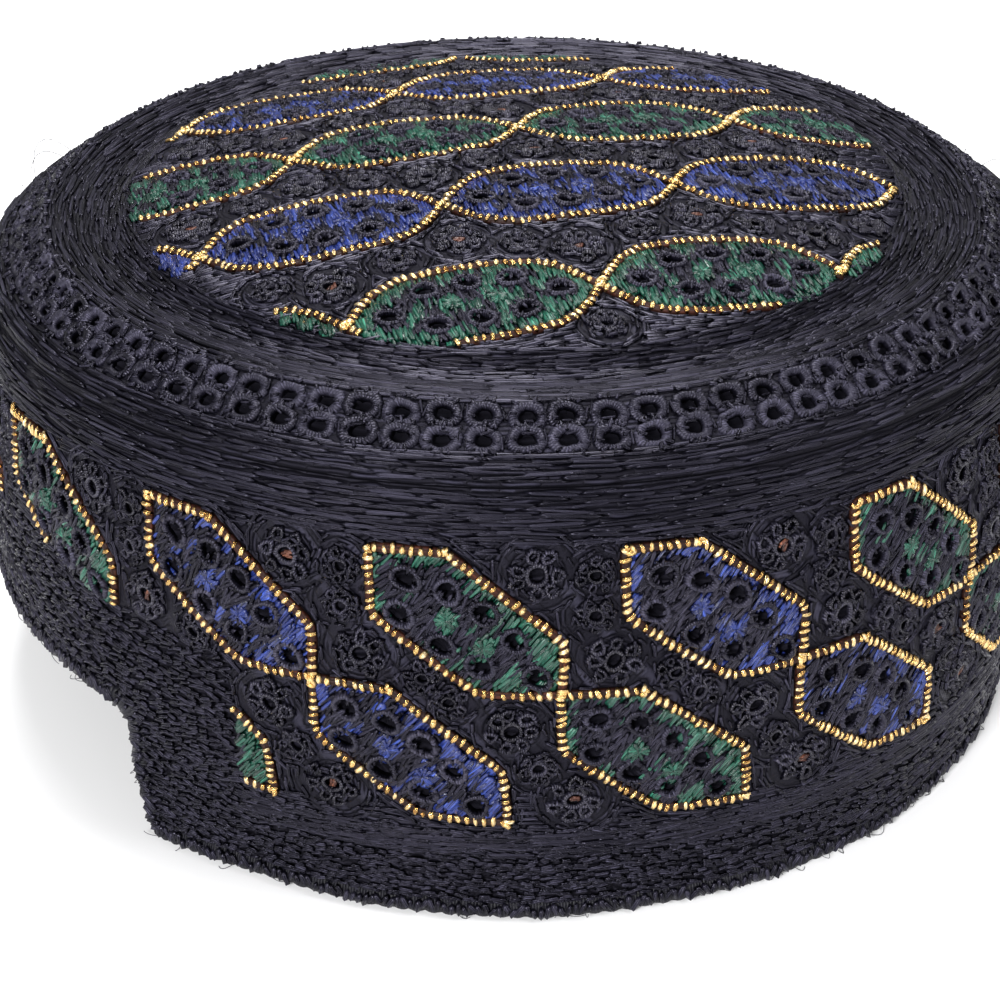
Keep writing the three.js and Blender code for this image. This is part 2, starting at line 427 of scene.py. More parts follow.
# Puts a shape into a mesh: all its points and faces at once, with its lay as a UV map and its
# other values as attributes of the points.
def buildPiece(name, shape, finish, stands=()):
    mesh = bpy.data.meshes.new(name)
    points = np.asarray(shape["points"]) * mm
    corners = np.concatenate([faces.reshape(-1) for faces in shape["faces"]]).astype(np.int32)
    sizes = np.concatenate([np.full(len(faces), faces.shape[1]) for faces in shape["faces"]])
    starts = np.concatenate([[0], np.cumsum(sizes)[:-1]]).astype(np.int32)
    mesh.vertices.add(len(points))
    mesh.vertices.foreach_set("co", points.astype(np.float32).ravel())
    mesh.loops.add(len(corners))
    mesh.loops.foreach_set("vertex_index", corners)
    mesh.polygons.add(len(sizes))
    mesh.polygons.foreach_set("loop_start", starts)
    mesh.polygons.foreach_set("use_smooth", np.ones(len(sizes), dtype=bool))
    mesh.update(calc_edges=True)
    lay = np.concatenate([part.reshape(-1, 2) for part in shape["lay"]]).astype(np.float32)
    mesh.uv_layers.new(name="lay").data.foreach_set("uv", lay.ravel())
    for mark, values in shape["marks"].items():
        layer = mesh.attributes.new(mark, "FLOAT", "POINT")
        layer.data.foreach_set("value", np.asarray(values, dtype=np.float32))
    mesh.validate()
    mesh.materials.append(finish)
    piece = bpy.data.objects.new(name, mesh)
    bpy.context.scene.collection.objects.link(piece)
    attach(piece, "root")
    if stands:
        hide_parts(*stands)
    print(name, int((sizes - 2).sum()), "triangles")


def joinShapes(shapes):
    points, faces, lay, start = [], [], [], 0
    marks = {mark: [] for mark in shapes[0]["marks"]}
    for shape in shapes:
        points.append(shape["points"])
        faces += [part + start for part in shape["faces"]]
        lay += shape["lay"]
        for mark in marks:
            marks[mark].append(shape["marks"][mark])
        start += len(shape["points"])
    joined = {mark: np.concatenate(values) for mark, values in marks.items()}
    return {"points": np.concatenate(points), "faces": faces, "lay": lay, "marks": joined}


# Sets a small shape down many times: point = spot + x * along + y * across + z * out, where
# along is turned by the angle in the chart's own plane.
def stampOn(chart, template, at, angle, scale, lift):
    count = len(at)
    spot, east, north, out = chart(at, lift)
    angle = np.broadcast_to(angle, count)[:, None]
    along = east * np.cos(angle) + north * np.sin(angle)
    across = north * np.cos(angle) - east * np.sin(angle)
    sized = template["points"][None] * np.broadcast_to(scale, (count, 3))[:, None]
    points = spot[:, None] + sized[..., 0:1] * along[:, None]
    points = points + sized[..., 1:2] * across[:, None] + sized[..., 2:3] * out[:, None]
    shift = np.arange(count)[:, None, None] * len(template["points"])
    faces = [(part[None] + shift).reshape(-1, part.shape[1]) for part in template["faces"]]
    drift = np.stack([draw.uniform(0, 40, count), np.zeros(count)], 1)[:, None, None]
    lay = [(part[None] + drift).reshape(-1, part.shape[1], 2) for part in template["lay"]]
    tint = np.repeat(draw.random(count), len(template["points"]))
    return {"points": points.reshape(-1, 3), "faces": faces, "lay": lay, "marks": {"tint": tint}}


# Faces between neighbouring rows and columns of a grid of point numbers, each as it lies or
# turned over.
def gridFaces(number, turned=False):
    upper, lower = (number[1:], number[:-1]) if turned else (number[:-1], number[1:])
    return np.stack([upper[:, :-1], upper[:, 1:], lower[:, 1:], lower[:, :-1]], -1).reshape(-1, 4)


# Faces and lay of a grid that closes on itself along the columns, and along the rows too if
# asked. The lay of each corner comes from the two lists of lengths.
def wrapFaces(rows, columns, rowLay, columnLay, closeRows):
    number = np.arange(rows * columns).reshape(rows, columns)
    number = np.pad(number, ((0, int(closeRows)), (0, 1)), mode="wrap")
    lay = np.stack(np.meshgrid(columnLay, rowLay[:len(number)]), -1).reshape(-1, 2)
    return gridFaces(number), lay[gridFaces(np.arange(number.size).reshape(number.shape))]


# A ring's plan: how far out it stands at each turn, 2 for a circle and more for a rounded square.
def planReach(turn, squareness):
    return (np.abs(np.cos(turn)) ** squareness + np.abs(np.sin(turn)) ** squareness) ** (-1 / squareness)


# A stitched ring: a closed profile of (radius, height) turned once round, its plan between a
# circle and a square. The lay runs from the hole outwards, as the thread does.
def ringTemplate(profile, segments, squareness=2.0, phase=0.0):
    turn = evenTurns(segments) + phase
    profile = np.asarray(profile, dtype=float)
    radius = profile[:, 0:1] * planReach(turn, squareness)[None]
    height = np.broadcast_to(profile[:, 1:2], radius.shape)[..., None]
    points = np.concatenate([polar(turn, radius), height], 2)
    rowLay = np.arange(len(profile) + 1) * 0.9
    columnLay = evenTurns(segments, 1) * profile[:, 0].mean()
    faces, lay = wrapFaces(len(profile), segments, rowLay, columnLay, True)
    return {"points": points.reshape(-1, 3), "faces": [faces], "lay": [lay[..., ::-1].copy()]}


# A stitch: a round section carried along x through its stations of (x, half width, height),
# with a point at either end.
def stitchTemplate(sides, stations, tipHeight):
    turn = evenTurns(sides) + np.pi / 2
    rows = [np.stack([np.full(sides, x), -half * np.cos(turn), rise + half * np.sin(turn)], 1)
            for x, half, rise in stations]
    tips = np.array([(-0.5, 0, tipHeight), (0.5, 0, tipHeight)])
    points = np.concatenate(rows + [tips])
    length = np.array([x for x, half, rise in stations]) * 3
    girth = np.arange(sides + 1) * 0.6
    faces, lay = wrapFaces(len(stations), sides, length, girth, False)
    # turned over, because the section runs the other way round
    faces = faces[:, ::-1]
    lay = lay[:, ::-1][..., ::-1]
    first = np.arange(sides)
    following = (first + 1) % sides
    end = (len(stations) - 1) * sides
    startTip = np.stack([np.full(sides, len(points) - 2), first, following], 1)
    endTip = np.stack([np.full(sides, len(points) - 1), end + following, end + first], 1)
    blank = np.zeros((sides, 3, 2))
    return {"points": points, "faces": [faces, startTip, endTip], "lay": [lay.copy(), blank, blank]}


# A tube along a path on a chart: point = path + radius * (side * cos + out * sin).
def tubeOn(chart, path, lift, radius, sides, closed):
    centre, _, _, out = chart(path, lift)
    if closed:
        ahead, behind = np.roll(centre, -1, 0), np.roll(centre, 1, 0)
    else:
        ahead, behind = np.vstack([centre[1:], centre[-1:]]), np.vstack([centre[:1], centre[:-1]])
    tangent = unitRows(ahead - behind)
    side = unitRows(np.cross(tangent, out))
    out = np.cross(side, tangent)
    section = polar(evenTurns(sides))
    spokes = side[:, None] * section[None, :, 0:1] + out[:, None] * section[None, :, 1:2]
    points = centre[:, None] + np.broadcast_to(radius, len(path))[:, None, None] * spokes
    count = len(path)
    length = np.concatenate([[0], np.cumsum(np.linalg.norm(np.diff(centre, axis=0), axis=1))])
    length = np.append(length, length[-1] + length[1])
    girth = np.arange(sides + 1) * 0.5
    faces, lay = wrapFaces(count, sides, length, girth, closed)
    faces = faces[:, ::-1]
    lay = lay[:, ::-1][..., ::-1].copy()
    faceSets, laySets = [faces], [lay]
    if not closed:
        ring = np.arange(sides)
        faceSets += [ring[None], (ring[::-1] + (count - 1) * sides)[None]]
        laySets += [np.zeros((1, sides, 2))] * 2
    tint = np.full(count * sides, draw.random())
    return {"points": points.reshape(-1, 3), "faces": faceSets, "lay": laySets, "marks": {"tint": tint}}


# Where the hexagons lie. On the band: corners as (degrees, height) from the first corner, in
# pairs that step down to the right, sixteen pairs round the cap in two dyes.
bandPattern = {
    "pairs": 16, "firstTurn": -35.4,
    "upper": [(0, 68.4), (6.94, 68.4), (17.3, 54.2), (17.0, 45.1), (9.8, 45.1), (0.14, 57.7)],
    "lower": [(17.0, 45.1), (24.2, 45.1), (34.35, 31.5), (34.76, 21.3), (26.5, 22.3), (17.0, 35.1)],
    "middle": (13.9, 56.4), "stepDown": (27.6, -23.3), "along": (0.778, -0.628),
    "rings": [(-11.5, 0.6), (13, 0), (-5.9, 3.1), (0.3, 3.9), (6.5, 3.0), (-8.2, -4.5), (-1, -4.5),
              (5.6, -3.3)],
    "stars": [(-3, -0.6), (3.9, -0.8)],
    "bigFlowers": [(14.8, 65.0), (21.6, 50.6), (12.6, 38.6), (18.3, 25.5)],
    "smallFlowers": [(19.9, 64.6), (19.9, 58.2), (27.2, 47.4), (7.0, 43.4), (15.0, 31.6)],
    "heaps": (5, 4, 2),      # the corners where gold is heaped, once they run the other way
    "borderHigh": 19.6, "borderTop": 45.4, "borderArch": 4.5, "borderHalf": 102.5,
}
# On the crown: rows of hexagons across a field turned by 15 degrees, tip to tip.
crownPattern = {
    "turn": np.radians(15), "pitch": 40.0, "reach": 65.6,
    "rows": [("green", 67, -14), ("blue", 38, 7), ("green", 8, -17.5), ("blue", -21, 2), ("green", -51, -20)],
    "corners": [(-20, 0), (-13, -9.5), (13, -9.5), (20, 0), (13, 9.5), (-13, 9.5)],
    "rings": [(-13.5, 0), (13.5, 0), (-7, 4.3), (0, 4.8), (7, 4.3), (-7, -4.3), (0, -5), (7, -4.3)],
    "stars": [(-3.5, 0), (3.5, 0)],
    "flowerShift": 3.4, "smallFlower": 0.78, "loneFlower": ((-2.0, -61.0), 0.8),
}
patterns = {"band": bandPattern, "crown": crownPattern}
charts = {"band": bandChart, "crown": crownChart}
degree = np.pi / 180 * capForm["chartRadius"]
pairStarts = 360 / bandPattern["pairs"] * np.arange(bandPattern["pairs"])
pairStarts = (bandPattern["firstTurn"] + pairStarts) * degree


# The plain knotted border: everything low on the band, and a block round the cut-out whose top
# rises a little towards the forehead.
def inBorder(at, margin=0.0):
    away = np.abs(fromNotch(at[:, 0]))
    low = at[:, 1] < bandPattern["borderHigh"] + margin
    top = bandPattern["borderTop"] + bandPattern["borderArch"] * (1 - smoothStep(away, 56, 82))
    return low | ((away < bandPattern["borderHalf"] + margin) & (at[:, 1] < top + margin))


def offField(at, margin=0.0):
    return lengthOf(at) > crownPattern["reach"] - margin


leftOut = {"band": inBorder, "crown": offField}


def bandHexagons():
    found = []
    along = np.array(bandPattern["along"])
    along = along / np.hypot(*along)
    across = np.array([-along[1], along[0]])
    for pair, start in enumerate(pairStarts):
        for step, part in enumerate(("upper", "lower")):
            corners = (np.array(bandPattern[part]) * (degree, 1) + (start, 0))[::-1]
            middle = np.array(bandPattern["middle"]) + (start, 0) + step * np.array(bandPattern["stepDown"])
            found.append({"dye": "green" if pair % 2 else "blue",
                          "corners": roundOutline(corners, 0.06, (5, 2)), "middle": middle,
                          "along": along, "across": across, "heaps": corners[list(bandPattern["heaps"])]})
    return found


def fieldPlace(u, v):
    turn = crownPattern["turn"]
    return np.stack([-(u * np.sin(turn) + v * np.cos(turn)), u * np.cos(turn) - v * np.sin(turn)], -1)


def crownHexagons():
    found = []
    for dye, v, first in crownPattern["rows"]:
        for step in range(-3, 4):
            u = first + step * crownPattern["pitch"]
            if np.hypot(u, v) > crownPattern["reach"] + 18:
                continue
            corners = np.array(crownPattern["corners"]) + (u, v)
            corners = fieldPlace(corners[:, 0], corners[:, 1])
            found.append({"dye": dye, "corners": roundOutline(corners, 0.22, (0, 3)),
                          "middle": fieldPlace(u, v), "along": fieldPlace(1.0, 0.0),
                          "across": fieldPlace(0.0, 1.0), "heaps": corners[[0, 3]]})
    return found


# Cuts the corners of a closed outline off, several times over, which rounds them. sharp names
# the corners that stay.
def roundOutline(corners, share, sharp=()):
    kept = [index in sharp for index in range(len(corners))]
    points = [np.array(corner, dtype=float) for corner in corners]
    for _ in range(3):
        following, followingKept = [], []
        for index, point in enumerate(points):
            before, after = points[index - 1], points[(index + 1) % len(points)]
            if kept[index]:
                following.append(point)
                followingKept.append(True)
            else:
                following += [point + (before - point) * share, point + (after - point) * share]
                followingKept += [False, False]
        points, kept = following, followingKept
        share = 0.25
    return np.array(points)


# Distance from each place to a closed outline, whether the place is inside it, and the heading
# of its nearest side.
def outlineDistance(at, corners):
    best = np.full(len(at), 1e9)
    inside = np.zeros(len(at), dtype=bool)
    heading = np.zeros(len(at))
    for first, second in zip(corners, np.roll(corners, -1, 0)):
        run = second - first
        share = np.clip(((at - first) @ run) / (run @ run), 0, 1)
        distance = lengthOf(at - first - share[:, None] * run)
        heading = np.where(distance < best, np.arctan2(run[1], run[0]), heading)
        best = np.minimum(best, distance)
        crosses = (first[1] > at[:, 1]) != (second[1] > at[:, 1])
        with np.errstate(divide="ignore", invalid="ignore"):
            edge = first[0] + (at[:, 1] - first[1]) * run[0] / run[1]
        inside ^= crosses & (at[:, 0] < edge)
    return best, inside, heading


# The places in a hexagon's own axes, moved onto its chart.
def localPlaces(hexagon, places):
    places = np.asarray(places, dtype=float)
    return hexagon["middle"] + places[:, 0:1] * hexagon["along"] + places[:, 1:2] * hexagon["across"]


# The flowers that stand clear of what is left out.
def clearFlowers(part, spots, sizes, margin):
    spots, sizes = np.array(spots), np.array(sizes)
    kept = ~leftOut[part](spots, margin)
    return spots[kept], sizes[kept]


def bandFlowers():
    spots, sizes = [], []
    for start in pairStarts:
        for key, size in (("bigFlowers", 1.0), ("smallFlowers", 0.72)):
            spots += [(start + turn * degree, height) for turn, height in bandPattern[key]]
            sizes += [size] * len(bandPattern[key])
    return clearFlowers("band", spots, sizes, 1.5)


# Flowers stand in the corridors between the rows: large ones where tips meet, pushed into the
# gap, and smaller ones halfway between them.
def crownFlowers():
    pitch, shift, rows = crownPattern["pitch"], crownPattern["flowerShift"], crownPattern["rows"]
    spots, sizes = [], []
    for (_, high, firstHigh), (_, low, firstLow) in zip(rows[:-1], rows[1:]):
        middle = (high + low) / 2
        tips = sorted((first + pitch / 2 + pitch * step, way) for step in range(-4, 4)
                      for first, way in ((firstHigh, shift), (firstLow, -shift)))
        for (u, up), (following, nextUp) in zip(tips[:-1], tips[1:]):
            spots += [fieldPlace(u, middle + up), fieldPlace((u + following) / 2, middle + (up + nextUp) / 2)]
            sizes += [1.0, crownPattern["smallFlower"]]
    place, size = crownPattern["loneFlower"]
    return clearFlowers("crown", spots + [fieldPlace(*place)], sizes + [size], 3.0)


hexagons = {"band": bandHexagons(), "crown": crownHexagons()}
flowers = {"band": bandFlowers(), "crown": crownFlowers()}


# The rings' places in the hexagons of a part, and how each hexagon is turned.
def ringPlaces(part):
    rings = patterns[part]["rings"]
    at = np.concatenate([localPlaces(hexagon, rings) for hexagon in hexagons[part]])
    angle = np.repeat([np.arctan2(*hexagon["along"][::-1]) for hexagon in hexagons[part]], len(rings))
    kept = ~leftOut[part](at, 1.6)
    return at[kept], angle[kept]


# The way from a spot to each place, on the band the short way round.
def offsetFrom(part, at, spot):
    offset = at - spot
    if part == "band":
        offset[:, 0] = shortWay(offset[:, 0])
    return offset


flowerForm = {"rim": 4.9, "reach": 4.5, "pitAndShade": 0.8, "pitWidth": 1.2}
ringHole = 1.55              # radius of the hole in a ring


# What lies on the cloth at each place: how near the closest outline or flower is and which way
# it runs, whether the place is in a hexagon or a flower, how deep a hole goes in, and how far
# the padding swells. The cloth's colour is darkened in the holes as well, as painted shade.
def survey(part, at):
    echo = np.full(len(at), farAway)
    puff = np.zeros(len(at))
    heading = np.zeros(len(at))
    inHexagon = np.zeros(len(at), dtype=bool)
    inFlower = np.zeros(len(at), dtype=bool)
    for hexagon in hexagons[part]:
        offset = offsetFrom(part, at, hexagon["middle"])
        near = np.flatnonzero(lengthOf(offset) < 32)
        distance, inside, side = outlineDistance(offset[near] + hexagon["middle"], hexagon["corners"])
        heading[near] = np.where(distance < echo[near], side, heading[near])
        echo[near] = np.minimum(echo[near], distance)
        puff[near] = np.maximum(puff[near], np.where(inside, 0.5 * smoothStep(distance, 0.4, 3.2), 0))
        inHexagon[near] |= inside
    covered = leftOut[part](at)
    echo[covered] = farAway
    puff[covered] = 0.0
    inHexagon[covered] = False
    pitAndShade = np.zeros(len(at))
    spots, sizes = flowers[part]
    for spot, size in zip(spots, sizes):
        offset = offsetFrom(part, at, spot)
        distance = lengthOf(offset)
        rim = np.abs(distance - flowerForm["rim"] * size)
        heading = np.where(rim < echo, np.arctan2(offset[:, 1], offset[:, 0]) + np.pi / 2, heading)
        echo = np.minimum(echo, rim)
        inFlower |= distance < flowerForm["reach"] * size
        pitAndShade = np.maximum(pitAndShade, flowerForm["pitAndShade"] * bellCurve(distance, 0, flowerForm["pitWidth"] * size))
    for spot in ringPlaces(part)[0]:
        distance = lengthOf(offsetFrom(part, at, spot))
        near = distance < 5
        pitAndShade[near] = np.maximum(pitAndShade[near], np.exp(-(distance[near] / ringHole) ** 4))
    return {"echo": echo, "heading": heading, "inHexagon": inHexagon, "inFlower": inFlower,
            "pitAndShade": pitAndShade, "puff": puff}


# Where the small dark holes of the border lie: three rows along the foot, and rows that fill
# the block round the cut-out.
borderForm = {
    "footRows": (5.15, 8.85, 12.55), "footPitch": 3.05,
    "blockPitch": 2.75, "blockRise": 2.53, "blockHeights": (16.0, 49.5), "blockHalf": 101,
    "clear": 3.4,            # distance kept from the cut-out's edge
    "pitAndShade": 0.75, "pitWidth": 0.85,
}


def borderHoles():
    spots = []
    for row, height in enumerate(borderForm["footRows"]):
        count = int(bandRound / borderForm["footPitch"])
        x = (np.arange(count) + 0.5 * (row % 2)) * bandRound / count
        spots.append(np.stack([x, np.full(count, height)], 1))
    pitch = borderForm["blockPitch"]
    for row, height in enumerate(np.arange(*borderForm["blockHeights"], borderForm["blockRise"])):
        x = np.arange(-borderForm["blockHalf"], borderForm["blockHalf"] + 0.1, pitch) + pitch / 2 * (row % 2)
        spots.append(np.stack([x + notchMiddle, np.full(len(x), height)], 1))
    at = np.concatenate(spots)
    at = at + draw.uniform(-0.3, 0.3, at.shape)
    return at[awayFromCut(at, borderForm["clear"]) & inBorder(at, -0.8)]


def awayFromCut(at, clear):
    half = capForm["notchHalf"] * capForm["chartRadius"] / capForm["rimRadius"]
    return (np.abs(fromNotch(at[:, 0])) > half + clear) | (at[:, 1] > capForm["notchHeight"] + clear)


borderSpots = borderHoles()

bandForm = {
    "columns": 640, "lowRows": 28, "highRows": 54, "innerSkip": 6,
    "edge": 0.9,             # how far the cloth's raw edge stays inside the bound edge
    "pitDepth": 1.5, "hem": (4.0, 3.0),    # the relief fades this far from either edge
}


# The band's cloth as a closed shell: an outer grid of turn by height and a plainer inner one,
# both without the cells of the cut-out, and strips that join their edges.
def makeBand():
    columns, low, skip = bandForm["columns"], bandForm["lowRows"], bandForm["innerSkip"]
    cutHigh = capForm["notchHeight"] + bandForm["edge"]
    heights = np.concatenate([np.linspace(bandForm["edge"], cutHigh, low + 1),
                              np.linspace(cutHigh, bandTop, bandForm["highRows"] + 1)[1:]])
    rows = len(heights)
    x = evenTurns(columns) * capForm["chartRadius"]
    at = np.stack(np.meshgrid(x, heights), -1).reshape(-1, 2)
    marks = survey("band", at)
    pitAndShade = marks["pitAndShade"]
    for spot in borderSpots:
        near = np.flatnonzero(np.abs(at[:, 1] - spot[1]) < 1.6)
        distance = lengthOf(offsetFrom("band", at[near], spot))
        pitAndShade[near] = np.maximum(pitAndShade[near], borderForm["pitAndShade"] * bellCurve(distance, 0, borderForm["pitWidth"]))
    foot, top = bandForm["hem"]
    hem = smoothStep(at[:, 1], bandForm["edge"], foot) * (1 - smoothStep(at[:, 1], bandTop - top, bandTop))
    outer = bandChart(at, marks["puff"] - pitAndShade * bandForm["pitDepth"] * hem)[0]
    # a row of the inner side for every few rows of the outer one, the cut-out's top among them
    picked = [*range(0, low, skip), *range(low, rows - 1, skip), rows - 1]
    lowInner = picked.index(low)
    plain = bandChart(np.stack(np.meshgrid(x, heights[picked]), -1).reshape(-1, 2), -capForm["thick"])[0]
    half = (capForm["notchHalf"] + bandForm["edge"]) / capForm["rimRadius"]
    centre = (evenTurns(columns) + np.pi / columns - capForm["notchTurn"] + np.pi) % (2 * np.pi) - np.pi
    openColumn = np.abs(centre) < half
    columnLay = evenTurns(columns, 1) * capForm["chartRadius"]
    faceSets, laySets = [], []
    for levels, cutRows, start, order in ((heights, low, 0, 1), (heights[picked], lowInner, len(outer), -1)):
        faces, lay = wrapFaces(len(levels), columns, levels, columnLay, False)
        kept = ~(openColumn[None] & (np.arange(len(levels) - 1)[:, None] < cutRows)).ravel()
        faceSets.append(faces[kept][:, ::order] + start)
        laySets.append(lay[kept][:, ::order])
    column = np.arange(columns)
    following = (column + 1) % columns

    def strip(outerRow, innerRow, chosen, downwards):
        a, b = column[chosen], following[chosen]
        quad = np.stack([outerRow * columns + a, len(outer) + innerRow * columns + a,
                         len(outer) + innerRow * columns + b, outerRow * columns + b], 1)
        return quad if downwards else quad[:, ::-1]

    edges = [strip(0, 0, ~openColumn, True), strip(low, lowInner, openColumn, True),
             strip(rows - 1, len(picked) - 1, np.ones(columns, dtype=bool), False)]
    firstOpen = int(column[openColumn & ~np.roll(openColumn, 1)][0])
    lastOpen = int(following[openColumn & ~np.roll(openColumn, -1)][0])
    for edgeColumn, turned in ((firstOpen, False), (lastOpen, True)):
        upward = np.arange(low + 1) * columns + edgeColumn
        downward = len(outer) + np.arange(lowInner, -1, -1) * columns + edgeColumn
        loop = np.concatenate([upward, downward])
        edges.append((loop[::-1] if turned else loop)[None])
    faceSets += edges
    laySets += [np.zeros((*part.shape, 2)) for part in edges]
    points = np.concatenate([outer, plain])
    used = np.unique(np.concatenate([part.ravel() for part in faceSets]))
    renumber = np.full(len(points), -1)
    renumber[used] = np.arange(len(used))
    flat = np.full(len(plain), farAway)
    marks = {"echo": np.concatenate([marks["echo"], flat])[used],
             "pitAndShade": np.concatenate([pitAndShade, np.zeros(len(plain))])[used]}
    return {"points": points[used], "faces": [renumber[part] for part in faceSets],
            "lay": laySets, "marks": marks}


crownForm = {
    "squares": 156, "shoulderRows": 40, "underRows": 9, "pitDepth": 1.4,
    "eyeletCount": 88, "eyeletRadii": (86.1, 82.8), "eyeletTurn": 0.02,
    "eyeletHalf": 2.36,      # half of an eyelet's height, up the shoulder
    "eyeletRise": 1.35,      # length up the shoulder for each millimetre of radius
    "holeSize": (1.75, 1.5), # half of an eyelet's hole, along the shoulder and up it
    "layRadius": 82,         # lengths round the shoulder are measured at this radius
}


# The crown's cloth as a closed shell. The field is a square grid pressed into a disc with
# x = u * sqrt(1 - v * v / 2), so that its threads run straight. The shoulder is a ring of the
# same edge points carried down the profile, and the underside is the profile moved in.
def makeCrown():
    count = crownForm["squares"]
    share = np.linspace(-1, 1, count + 1)
    u, v = np.meshgrid(share, share)
    x = u * np.sqrt(1 - v * v / 2) * capForm["fieldRadius"]
    y = v * np.sqrt(1 - u * u / 2) * capForm["fieldRadius"]
    at = np.stack([x.ravel(), y.ravel()], 1)
    marks = survey("crown", at)
    echo, pitAndShade, puff = marks["echo"], marks["pitAndShade"], marks["puff"]
    disc = crownChart(at, puff * 0.8 - pitAndShade * crownForm["pitDepth"])[0]
    number = np.arange((count + 1) ** 2).reshape(count + 1, count + 1)
    discFaces = gridFaces(number)
    turn = crownPattern["turn"]
    fieldLay = np.stack([-at[:, 0] * np.sin(turn) + at[:, 1] * np.cos(turn),
                         -at[:, 0] * np.cos(turn) - at[:, 1] * np.sin(turn)], 1)
    rim = np.concatenate([number[0, :-1], number[:-1, -1], number[-1, :0:-1], number[:0:-1, 0]])
    columns = len(rim)
    direction = unitRows(at[rim])
    edgeIndex = int(np.argmin(np.abs(crownRadii - capForm["fieldRadius"])))
    stations = np.linspace(edgeIndex, 0, crownForm["shoulderRows"] + 1).astype(int)[1:]
    radii = crownRadii[stations]
    ringAt = (direction[None] * radii[:, None, None]).reshape(-1, 2)
    ringTurn = np.arctan2(ringAt[:, 1], ringAt[:, 0])
    share = (ringTurn - crownForm["eyeletTurn"]) / (2 * np.pi) * crownForm["eyeletCount"]
    besides = (share - np.round(share)) * 2 * np.pi / crownForm["eyeletCount"] * lengthOf(ringAt)
    # the eyelets' holes: their depth, and painted shade in the cloth's colour
    eyeletPitAndShade = np.zeros(len(ringAt))
    for radius in crownForm["eyeletRadii"]:
        level = (lengthOf(ringAt) - radius) * crownForm["eyeletRise"]
        hole = (besides / crownForm["holeSize"][0]) ** 2 + (level / crownForm["holeSize"][1]) ** 2
        eyeletPitAndShade = np.maximum(eyeletPitAndShade, np.exp(-hole ** 2))
    ring, ringOut = [crownChart(ringAt)[index] for index in (0, 3)]
    # the rows stand at the profile's own heights, which differ where it falls steeply
    ring[:, 2] += np.repeat(crownHeights[stations], columns) - np.interp(
        lengthOf(ringAt), crownRadii[::-1], crownHeights[::-1])
    ring = ring - ringOut * (eyeletPitAndShade * crownForm["pitDepth"])[:, None]
    length = runLength(np.stack([crownRadii, crownHeights], 1))
    rowLay = np.concatenate([[length[edgeIndex]], length[stations]])
    spread = runLength(direction) * crownForm["layRadius"]
    layGrid = np.stack(np.meshgrid(np.append(spread, spread[-1] + spread[1]), rowLay), -1)
    ringNumber = np.concatenate([rim[None], np.arange(len(ring)).reshape(-1, columns) + len(disc)])
    closing = ((0, 0), (0, 1))
    ringFaces = gridFaces(np.pad(ringNumber, closing, mode="wrap"), True)
    layNumber = np.arange(layGrid[..., 0].size).reshape(len(rowLay), -1)
    ringLay = layGrid.reshape(-1, 2)[gridFaces(layNumber, True)]
    # the underside, from the seam to the middle
    under = np.linspace(0, len(crownRadii) - 1, crownForm["underRows"] + 1).astype(int)[:-1]
    tilt = unitRows(np.stack([np.gradient(crownHeights), -np.gradient(crownRadii)], 1))
    inRadius = crownRadii[under] - tilt[under, 0] * capForm["thick"]
    inHeight = crownHeights[under] - tilt[under, 1] * capForm["thick"]
    inRadius[0], inHeight[0] = crownRadii[0] - capForm["thick"] + 0.6, crownFoot
    underside = np.concatenate([direction[None] * inRadius[:, None, None],
                                np.broadcast_to(inHeight[:, None, None], (len(under), columns, 1))], -1)
    underside = underside.reshape(-1, 3)
    start = len(disc) + len(ring)
    middle = start + len(underside)
    chain = np.concatenate([ringNumber[-1:], np.arange(len(underside)).reshape(-1, columns) + start])
    underFaces = gridFaces(np.pad(chain, closing, mode="wrap"), True)
    fan = np.stack([np.full(columns, middle), np.roll(chain[-1], -1), chain[-1]], 1)
    points = np.concatenate([disc, ring, underside, [[0, 0, crownApex - capForm["thick"]]]])
    rest = len(points) - len(disc)
    echo = np.where(offField(at, -0.4), farAway, echo)
    return {
        "points": points,
        "faces": [discFaces, ringFaces, underFaces, fan],
        "lay": [fieldLay[discFaces], ringLay, points[underFaces][..., :2], points[fan][..., :2]],
        "marks": {"echo": np.concatenate([echo, np.full(rest, farAway)]),
                  "pitAndShade": np.concatenate([pitAndShade, eyeletPitAndShade, np.zeros(rest - len(eyeletPitAndShade))])},
    }


bandFinish = makeClothFinish("bandCloth", 0.86, 4.2, 1.5)
crownFinish = makeClothFinish("crownCloth", 0.9, 5.0, 1.2)
buildPiece("bandCloth", makeBand(), bandFinish, ["side_band"])
buildPiece("crownCloth", makeCrown(), crownFinish, ["crown_top"])
print("cloth made")

bindingForm = {
    "section": [(3.3, -0.7), (3.1, 0.15), (2.4, 0.5), (1.5, 0.62), (0.7, 0.4), (0.15, -0.3), (0, -1.5),
                (0.15, -2.7), (0.7, -3.4), (1.5, -3.62), (2.4, -3.5), (3.1, -3.15), (3.3, -2.3)],
    "raise": 0.55, "pitch": 2.7, "step": 0.54, "bumpHigh": 0.42, "bumpOut": 0.4, "footCorner": 3.0,
    "hidden": 1.6,           # width of the section's last side, inside the cloth
}


